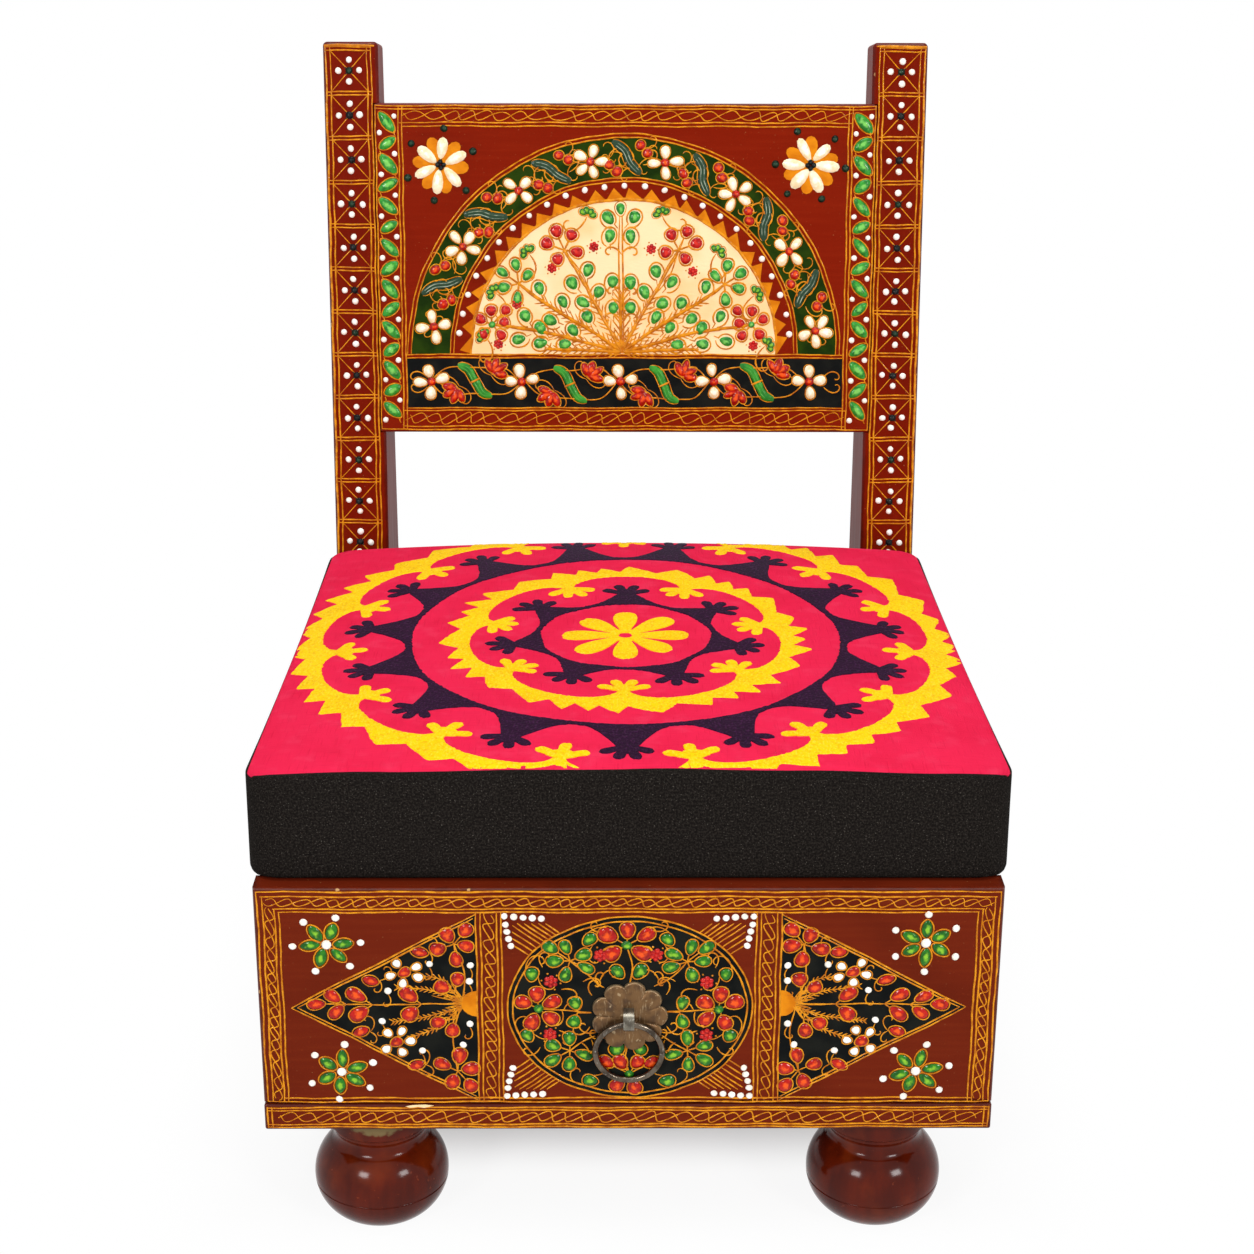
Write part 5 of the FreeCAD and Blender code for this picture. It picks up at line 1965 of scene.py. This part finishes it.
@dataclass
class Embroidery:
    """The sewn medallion on the cushion: a flower, two hooked rings and two scalloped rings with sprigs."""

    cushion: Cushion
    centre: Point = (-0.001, -0.0287)
    stretch: float = 0.085
    stretch_radius: float = 130
    narrow_ring: Point = (122, 30)
    narrowing: float = 0.05
    ragged: float = 0.28
    rise: float = 0.0005
    rows: int = 8
    limit: float = 0.0012
    hem: float = 0.0006
    tuck: float = 0.0001
    palm: Point = (0.0034, 0.0024)
    palm_spread: float = 22
    finger_half: float = 18
    finger_steps: int = 14
    inner_count: int = 7
    inner_turn: float = radians(89)
    outer_count: int = 15
    outer_turn: float = radians(-90)
    seed: int = 11

    def __post_init__(self) -> None:
        """Start with no stitches."""
        self.hand = random.Random(self.seed)
        self.stitched: Dict[Yarn, Tuple[List[Triple], Faces]] = {}

    def spot(self, radius: float, angle: float) -> Point:
        """A point of the medallion, a little off as a stitch would be.

        Args:
            radius: Its distance from the middle in millimetres, before the medallion is drawn out.
            angle: Its angle in radians.

        Returns:
            The point in the shared frame.
        """
        pull = 1 + self.stretch * min(radius / self.stretch_radius, 1)
        drawn = 1 - self.narrowing * max(0, 1 - abs(radius - self.narrow_ring[0]) / self.narrow_ring[1])
        far = (radius + self.hand.gauss(0, self.ragged)) * MM
        return on_oval(self.centre, (far * drawn, far * pull), angle)

    def band(self, yarn: Yarn, inner: Sequence[Point], outer: Sequence[Point], closed: bool) -> None:
        """Sew a filled band between two lines of points.

        Args:
            yarn: Its thread.
            inner: Points of the inner line.
            outer: Points of the outer line, one for each inner point.
            closed: Whether the band goes all the way round.
        """
        points, faces = self.stitched.setdefault(yarn, ([], []))
        first = len(points)
        columns = len(inner)
        start, end = np.array(inner)[:, None, :], np.array(outer)[:, None, :]
        width = np.linalg.norm(end - start, axis=2)
        hem_share = np.minimum(self.hem / np.maximum(width, 1e-6), 0.2)
        filled = 2 * hem_share + (1 - 4 * hem_share) * np.linspace(0, 1, self.rows - 3)
        shares = np.hstack([np.zeros_like(width), hem_share, filled, 1 - hem_share, np.ones_like(width)])
        plan = start + (end - start) * shares[:, :, None]
        within = self.cushion.panel_depth(plan[:, :, 0], plan[:, :, 1])
        low, high = self.cushion.panel_box(self.limit)
        plan = np.clip(plan, low, high)
        for column in range(columns):
            for row in range(self.rows + 1):
                x, y = plan[column, row]
                edge = row in (0, self.rows) or (not closed and column in (0, columns - 1))
                hem = edge or within[column, row] < self.limit
                points.append((x, y, self.cushion.height(x, y) + (-self.tuck if hem else self.rise)))
        for column in range(columns if closed else columns - 1):
            after = (column + 1) % columns
            for row in range(self.rows):
                a, b = first + column * (self.rows + 1) + row, first + after * (self.rows + 1) + row
                if max(within[c, r] for c in (column, after) for r in (row, row + 1)) > self.limit:
                    faces.append((a, a + 1, b + 1, b))

    def ring(self, yarn: Yarn, count: int, turn: float, edges: Triple, steps: int) -> None:
        """Sew a ring, smooth inside, with pointed humps outside.

        Args:
            yarn: Its thread.
            count: Number of humps.
            turn: Angle of the first hump.
            edges: Radius of the inner edge, of the outer edge between the humps and of the humps' tips.
            steps: Points for each hump.
        """
        inner, thin, hump = edges
        inside, outside = [], []
        period, total = TAU / count, count * steps
        lift = [self.hand.uniform(0.9, 1.08) for _ in range(count)]
        for step in range(total):
            angle = TAU * step / total + turn
            which = round((angle - turn) / period) % count
            away = abs((angle - turn + period / 2) % period - period / 2) / (period / 2)
            bulge = min(1, 1.35 * (1 - min(away / 0.92, 1)) ** 2)
            ripple = 0.7 * sin(5 * angle + 1) + 0.5 * sin(11 * angle)
            inside.append(self.spot(inner + ripple, angle))
            outside.append(self.spot(thin + ripple + (hump - thin) * bulge * lift[which], angle))
        self.band(yarn, inside, outside, True)

    def scallops(self, yarn: Yarn, count: int, turn: float, edges: Sequence[float], teeth: int,
                 steps: int) -> None:
        """A ring with hollow arches inside and slanted saw teeth outside.

        Args:
            yarn: Its thread.
            count: Number of arches.
            turn: Angle of the first arch's crown.
            edges: Radius of the cusps, the crowns, the tooth roots and the tooth tips.
            teeth: Number of teeth.
            steps: Points for each arch.
        """
        cusp, crown, root, tip = edges
        inside, outside = [], []
        period, total = TAU / count, count * steps
        keen = [self.hand.uniform(0.7, 1.2) for _ in range(teeth)]
        for step in range(total):
            angle = TAU * step / total + turn
            away = abs((angle - turn + period / 2) % period - period / 2) / (period / 2)
            hollow = sqrt(max(0, 1 - (away / 0.92) ** 2.4))
            inside.append(self.spot(cusp + (crown - cusp) * hollow, angle))
            which, slope = divmod(teeth * (angle - turn) / TAU + 0.3 * sin(7 * angle), 1)
            tooth = (slope / 0.58 if slope < 0.58 else (1 - slope) / 0.42) * keen[int(which) % teeth]
            outside.append(self.spot(root + (tip - root) * tooth, angle + 0.12 * (tooth - 0.5) * TAU / teeth))
        self.band(yarn, inside, outside, True)

    def sprig(self, yarn: Yarn, radius: float, angle: float, outward: float, reach: float,
              fingers: Tuple[float, ...]) -> None:
        """A hand-shaped sprig that grows from a ring.

        Args:
            yarn: Its thread.
            radius: Radius of its foot.
            angle: Angle of its foot.
            outward: 1 to grow outwards, -1 inwards.
            reach: Length in millimetres.
            fingers: Heading of each finger in degrees, off the sprig's own direction.
        """
        base = np.array(self.spot(radius, angle))
        forth = np.array(self.spot(radius + outward, angle)) - base
        forth /= np.linalg.norm(forth)
        beside = np.array((-forth[1], forth[0]))
        inner, outer = [], []
        steps = self.finger_steps * len(fingers)
        spread = fingers[-1] + self.palm_spread
        long = [reach * self.hand.uniform(0.88, 1.1) for _ in fingers]
        for step in range(steps + 1):
            lean = -spread + 2 * spread * step / steps
            swell = max(size * sqrt(max(0, 1 - ((lean - finger) / self.finger_half) ** 2))
                        for finger, size in zip(fingers, long))
            far = (0.52 * reach + 0.48 * swell + self.hand.gauss(0, self.ragged)) * MM
            turn = radians(lean)
            outer.append(tuple(base + far * (cos(turn) * forth + sin(turn) * beside)))
            inner.append(tuple(base + beside * (self.palm[0] * sin(turn)) - forth * self.palm[1]))
        self.band(yarn, inner, outer, False)

    def flower(self, yarn: Yarn, petals: int, steps: int) -> None:
        """Sew the flower in the middle, with round petals.

        Args:
            yarn: Its thread.
            petals: Number of petals.
            steps: Points for each petal.
        """
        inside, outside = [], []
        total = petals * steps
        for step in range(total):
            angle = TAU * step / total
            away = abs((petals * angle / TAU + 0.5) % 1 - 0.5) * 2
            reach = 12 + (34 + 2 * sin(2 * angle)) * sqrt(max(0, 1 - (away / 0.84) ** 2.6))
            inside.append(self.spot(5, angle))
            outside.append(self.spot(reach, angle))
        self.band(yarn, inside, outside, True)

    def build(self) -> None:
        """Sew everything on, one piece for each thread."""
        yellow, purple = Yarn.YELLOW, Yarn.PURPLE
        inner, outer = (self.inner_count, self.inner_turn), (self.outer_count, self.outer_turn)
        four, three = (-66, -22, 22, 66), (-60, 0, 60)
        self.flower(yellow, 8, 28)
        self.ring(purple, *inner, (61.5, 66, 84), 48)
        self.scallops(yellow, *inner, (101, 118, 126.5, 137.5), 33, 72)
        self.ring(purple, *outer, (155, 160.5, 190), 36)
        self.scallops(yellow, *outer, (205, 221, 230.5, 243.5), 47, 48)
        sprigs = ((*inner, (83, 20, four), (101.5, 19.5, four)),
                  (*outer, (188, 19.5, four), (206, 21, three)))
        for count, turn, (foot, reach, fingers), (crown, drop, hanging) in sprigs:
            for number in range(count):
                angle = turn + TAU * number / count
                self.sprig(purple, foot, angle, 1, reach, fingers)
                self.sprig(yellow, crown, angle + pi / count, -1, drop, hanging)
        for yarn, (points, faces) in self.stitched.items():
            mesh = mesh_of("stitches", points, faces)
            sewn = bmesh.new()
            sewn.from_mesh(mesh)
            bmesh.ops.delete(sewn, geom=[v for v in sewn.verts if not v.link_faces], context="VERTS")
            for face in sewn.faces:
                face.normal_update()
                if face.normal.z < 0:
                    face.normal_flip()
                face.smooth = False
            sewn.to_mesh(mesh)
            sewn.free()
            mesh.materials.append(yarn.value.material())
            add_piece(f"embroidery_{yarn.name.lower()}", [mesh], "cushion")


@dataclass
class Carcass:
    """The CAD nodes that stay: painted boards, turned feet, bare wood inside and the metal fittings."""

    rake: float
    boards: Tuple[str, ...] = (
        "base_board", "left_side_panel", "right_side_panel", "back_board", "seat_board", "drawer_front")
    feet: Tuple[str, ...] = ("foot_front_left", "foot_front_right", "foot_rear_left", "foot_rear_right")
    raked: Tuple[str, ...] = ("left_post", "right_post", "backrest_panel")
    panel_lacquer: Tuple[Sequence[float], ...] = (
        (0.06, 1, 1), srgb(122, 25, 4), srgb(144, 38, 8), srgb(72, 12, 3))
    post_lacquer: Tuple[Sequence[float], ...] = (
        (1, 1, 0.06), srgb(110, 19, 2), srgb(130, 30, 5), srgb(64, 10, 2))
    collar_radius: float = 0.035
    collar_drop: float = 0.0065

    def raked_walls(self, node: str) -> Tuple[Wall, ...]:
        """The sides of a piece whose front leans back.

        Args:
            node: The node's name.

        Returns:
            Its walls: the box's, with the front one turned to the rake.
        """
        low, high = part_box(node)
        lean = (0, -cos(self.rake), sin(self.rake))
        points = points_of(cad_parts[node].data)
        front = Wall(lean, float((points @ np.array(lean)).max()))
        side = (Wall((1, 0, 0), high.x), Wall((-1, 0, 0), -low.x))
        if node == "backrest_panel":
            rise = np.array((0, sin(self.rake), cos(self.rake)))
            along = points @ rise
            ends = (Wall(tuple(rise), float(along.max())), Wall(tuple(-rise), float(-along.min())))
            return (front, *side, *ends)
        return (front, *side, Wall((0, 1, 0), high.y), Wall((0, 0, 1), high.z))

    def rubbed_collar(self) -> Triple:
        """Where the polish has worn off the left front foot, on its collar under the base board."""
        low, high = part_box("foot_front_left")
        return ((low.x + high.x) / 2 + 0.002, (low.y + high.y) / 2 - self.collar_radius,
                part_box("base_board")[0].z - self.collar_drop)

    def finish_for(self, node: str) -> Finish:
        """The finish of one CAD node.

        Args:
            node: The node's name.

        Returns:
            Its finish.
        """
        low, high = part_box(node)
        if node in self.boards:
            return Lacquer(f"lacquer_{node}", box_walls(node))
        if node in self.raked:
            look = self.panel_lacquer if node == "backrest_panel" else self.post_lacquer
            return Lacquer(f"lacquer_{node}", self.raked_walls(node), *look)
        if node in self.feet:
            rubbed = self.rubbed_collar() if node == "foot_front_left" else None
            return TurnedWood(f"turned_{node}", rubbed)
        if node == "ring_staple":
            return Fitting.STRAP.value
        if node == "pull_ring" or node.endswith(("nails", "screws", "pins")):
            return Fitting.STEEL.value
        longest = max(range(3), key=lambda axis: high[axis] - low[axis])
        grain = [1, 1, 1]
        grain[longest] = 0.07
        return BareWood(f"bare_wood_along_{'xyz'[longest]}", tuple(grain))

    def dress(self) -> None:
        """Give every CAD node its finish."""
        for name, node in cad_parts.items():
            material = self.finish_for(name).material()
            node.data.materials.clear()
            node.data.materials.append(material)
            LOG.info("%s: %s", name, material.name)


@dataclass
class Studio:
    """Pale floor, soft light and the camera at the photograph's angle."""

    camera_place: Triple = (-0.0129, -1.62815, 0.9314)
    pitch: float = radians(20.037)
    yaw: float = radians(-0.468)
    roll: float = radians(0.182)
    lens: float = 67.46
    sensor: float = 36
    sight: float = 60
    floor_half: float = 14
    shade_half: Point = (0.24, 0.215)
    fill: float = 0.30
    softboxes: Tuple[Tuple[Triple, float], ...] = (((-1.15, -1.95, 1.25), 22), ((1.45, -1.75, 1.25), 22))
    softbox_size: Point = (0.60, 0.44)
    overhead: float = 32
    overhead_place: Triple = (0, -0.3, 2.6)
    overhead_size: Point = (1.6, 1.6)
    white: Colour = (1, 1, 1, 1)
    floor_pale: Colour = (0.93, 0.93, 0.93, 1)
    floor_speck: Colour = (0.8, 0.8, 0.8, 1)
    glow_shares: Triple = (0.50, 0.41, 0.09)
    near_fade: Point = (-0.085, -0.01)
    far_fade: Point = (-0.01, 0.12)
    aim: Triple = (0, -0.05, 0.32)

    def set_camera(self) -> None:
        """Place the camera."""
        data = bpy.data.cameras.new("camera")
        data.lens = self.lens
        data.sensor_width = self.sensor
        data.clip_end = self.sight
        camera = shown(bpy.data.objects.new("camera", data))
        turn = (Matrix.Rotation(self.yaw, 4, "Z") @ Matrix.Rotation(pi / 2 - self.pitch, 4, "X")
                @ Matrix.Rotation(self.roll, 4, "Z"))
        camera.matrix_world = Matrix.Translation(self.camera_place) @ turn
        bpy.context.scene.camera = camera

    def softbox(self, name: str, place: Triple, size: Point, power: float) -> None:
        """Add one rectangular lamp that faces the chair.

        Args:
            name: The lamp's name.
            place: Where it stands.
            size: Its width and height.
            power: Its power in watts.
        """
        data = bpy.data.lights.new(name, "AREA")
        data.shape = "RECTANGLE"
        data.size, data.size_y = size
        data.energy = power
        lamp = shown(bpy.data.objects.new(name, data))
        lamp.location = place
        lamp.rotation_euler = (Vector(self.aim) - Vector(place)).to_track_quat("-Z", "Y").to_euler()

    def set_lights(self) -> None:
        """Add the two front lamps, the overhead lamp and the white surround."""
        for number, (place, power) in enumerate(self.softboxes):
            self.softbox(f"softbox_{number}", place, self.softbox_size, power)
        self.softbox("overhead", self.overhead_place, self.overhead_size, self.overhead)
        world = bpy.data.worlds.new("surround")
        world.use_nodes = True
        graph = Graph(world.node_tree)
        level = graph.mix(self.seen_ray(graph), (self.fill, self.fill, self.fill, 1), self.white)
        light = graph.add("ShaderNodeBackground", sockets={"Color": level})
        graph.add("ShaderNodeOutputWorld", sockets={"Surface": light})
        bpy.context.scene.world = world

    @staticmethod
    def seen_ray(graph: Graph) -> Value:
        """1 for rays that show the surround itself or its reflection."""
        camera, glossy, clear = (graph.add("ShaderNodeLightPath", output=kind)
                                 for kind in ("Is Camera Ray", "Is Glossy Ray", "Is Transmission Ray"))
        return camera.highest(glossy).highest(clear)

    def set_floor(self) -> None:
        """Lay the pale floor, which keeps the chair's shadow and goes white further out."""
        half = self.floor_half
        corners = [(-half, -half, 0), (half, -half, 0), (half, half, 0), (-half, half, 0)]
        mesh = mesh_of("floor", corners, [(0, 1, 2, 3)])
        floor = shown(bpy.data.objects.new("floor", mesh))
        material = bpy.data.materials.new("pale_floor")
        material.use_nodes = True
        graph = Graph(material.node_tree)
        place = graph.place()
        x, y, _ = graph.parts(place)
        away = (abs(x) - self.shade_half[0]).highest(abs(y) - self.shade_half[1])
        pale = graph.mix(graph.noise(place, 0.01) * 0.03, self.floor_pale, self.floor_speck)
        matt = graph.add("ShaderNodeBsdfDiffuse", sockets={"Color": pale})
        glow = graph.add("ShaderNodeEmission", sockets={"Color": self.white, "Strength": 1})
        under, near, far = self.glow_shares
        white = under + away.over(*self.near_fade) * near + away.over(*self.far_fade) * far
        share = white * self.seen_ray(graph)
        surface = graph.add("ShaderNodeMixShader", sockets={0: share, 1: matt, 2: glow})
        graph.add("ShaderNodeOutputMaterial", sockets={"Surface": surface})
        mesh.materials.append(material)

    def build(self) -> None:
        """Set up the whole studio."""
        bpy.context.scene.view_settings.view_transform = "Standard"
        self.set_camera()
        self.set_lights()
        self.set_floor()


@dataclass
class PaintedChair:
    """The whole chair: where its painted faces lie, and the order in which its looks are made."""

    post_top_depth: float = 0.044
    panel_lift: float = 0.1645
    panel_height: float = 0.260
    post_horn: float = 0.047

    def rake(self) -> float:
        """Angle that the back leans, from the posts' depth at seat and top and their sloping length."""
        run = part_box("left_post")[1].y - self.back_foot() - self.post_top_depth
        return asin(run / (self.panel_lift + self.panel_height + self.post_horn))

    @staticmethod
    def back_foot() -> float:
        """Where the posts' leaning faces start, just behind the side panels."""
        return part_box("left_side_panel")[1].y

    @staticmethod
    def front_face(node: str) -> Face:
        """The upright front of a CAD node, from its middle."""
        low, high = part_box(node)
        return Face(Vector((0, low.y, (low.z + high.z) / 2)), Vector((0, 0, 1)), Vector((0, -1, 0)))

    def back_face(self) -> Face:
        """The leaning plane of the posts and the panel.

        Returns:
            The face, from the panel's lower edge up.
        """
        up = Vector((0, sin(self.rake()), cos(self.rake())))
        out = Vector((0, -up.z, up.y))
        foot = Vector((0, self.back_foot(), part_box("seat_board")[1].z))
        return Face(foot + up * self.panel_lift, up, out)

    def build(self) -> None:
        """Make every piece, in order."""
        Carcass(self.rake()).dress()
        DrawerPaintwork("drawer_paintwork", "drawer", self.front_face("drawer_front"), 3).build()
        BasePaintwork("base_paintwork", "chair", self.front_face("base_board"), 5).build()
        BackrestPaintwork("backrest_paintwork", "chair", self.back_face(), 7).build()
        PostPaintwork("post_paintwork", "chair", self.back_face(), 9).build()
        PullRosette().build()
        cushion = Cushion()
        cushion.build()
        Embroidery(cushion).build()
        Studio().build()


def main() -> None:
    logging.basicConfig(level=logging.INFO, format="%(name)s %(message)s")
    PaintedChair().build()


if __name__ == "__main__":
    main()
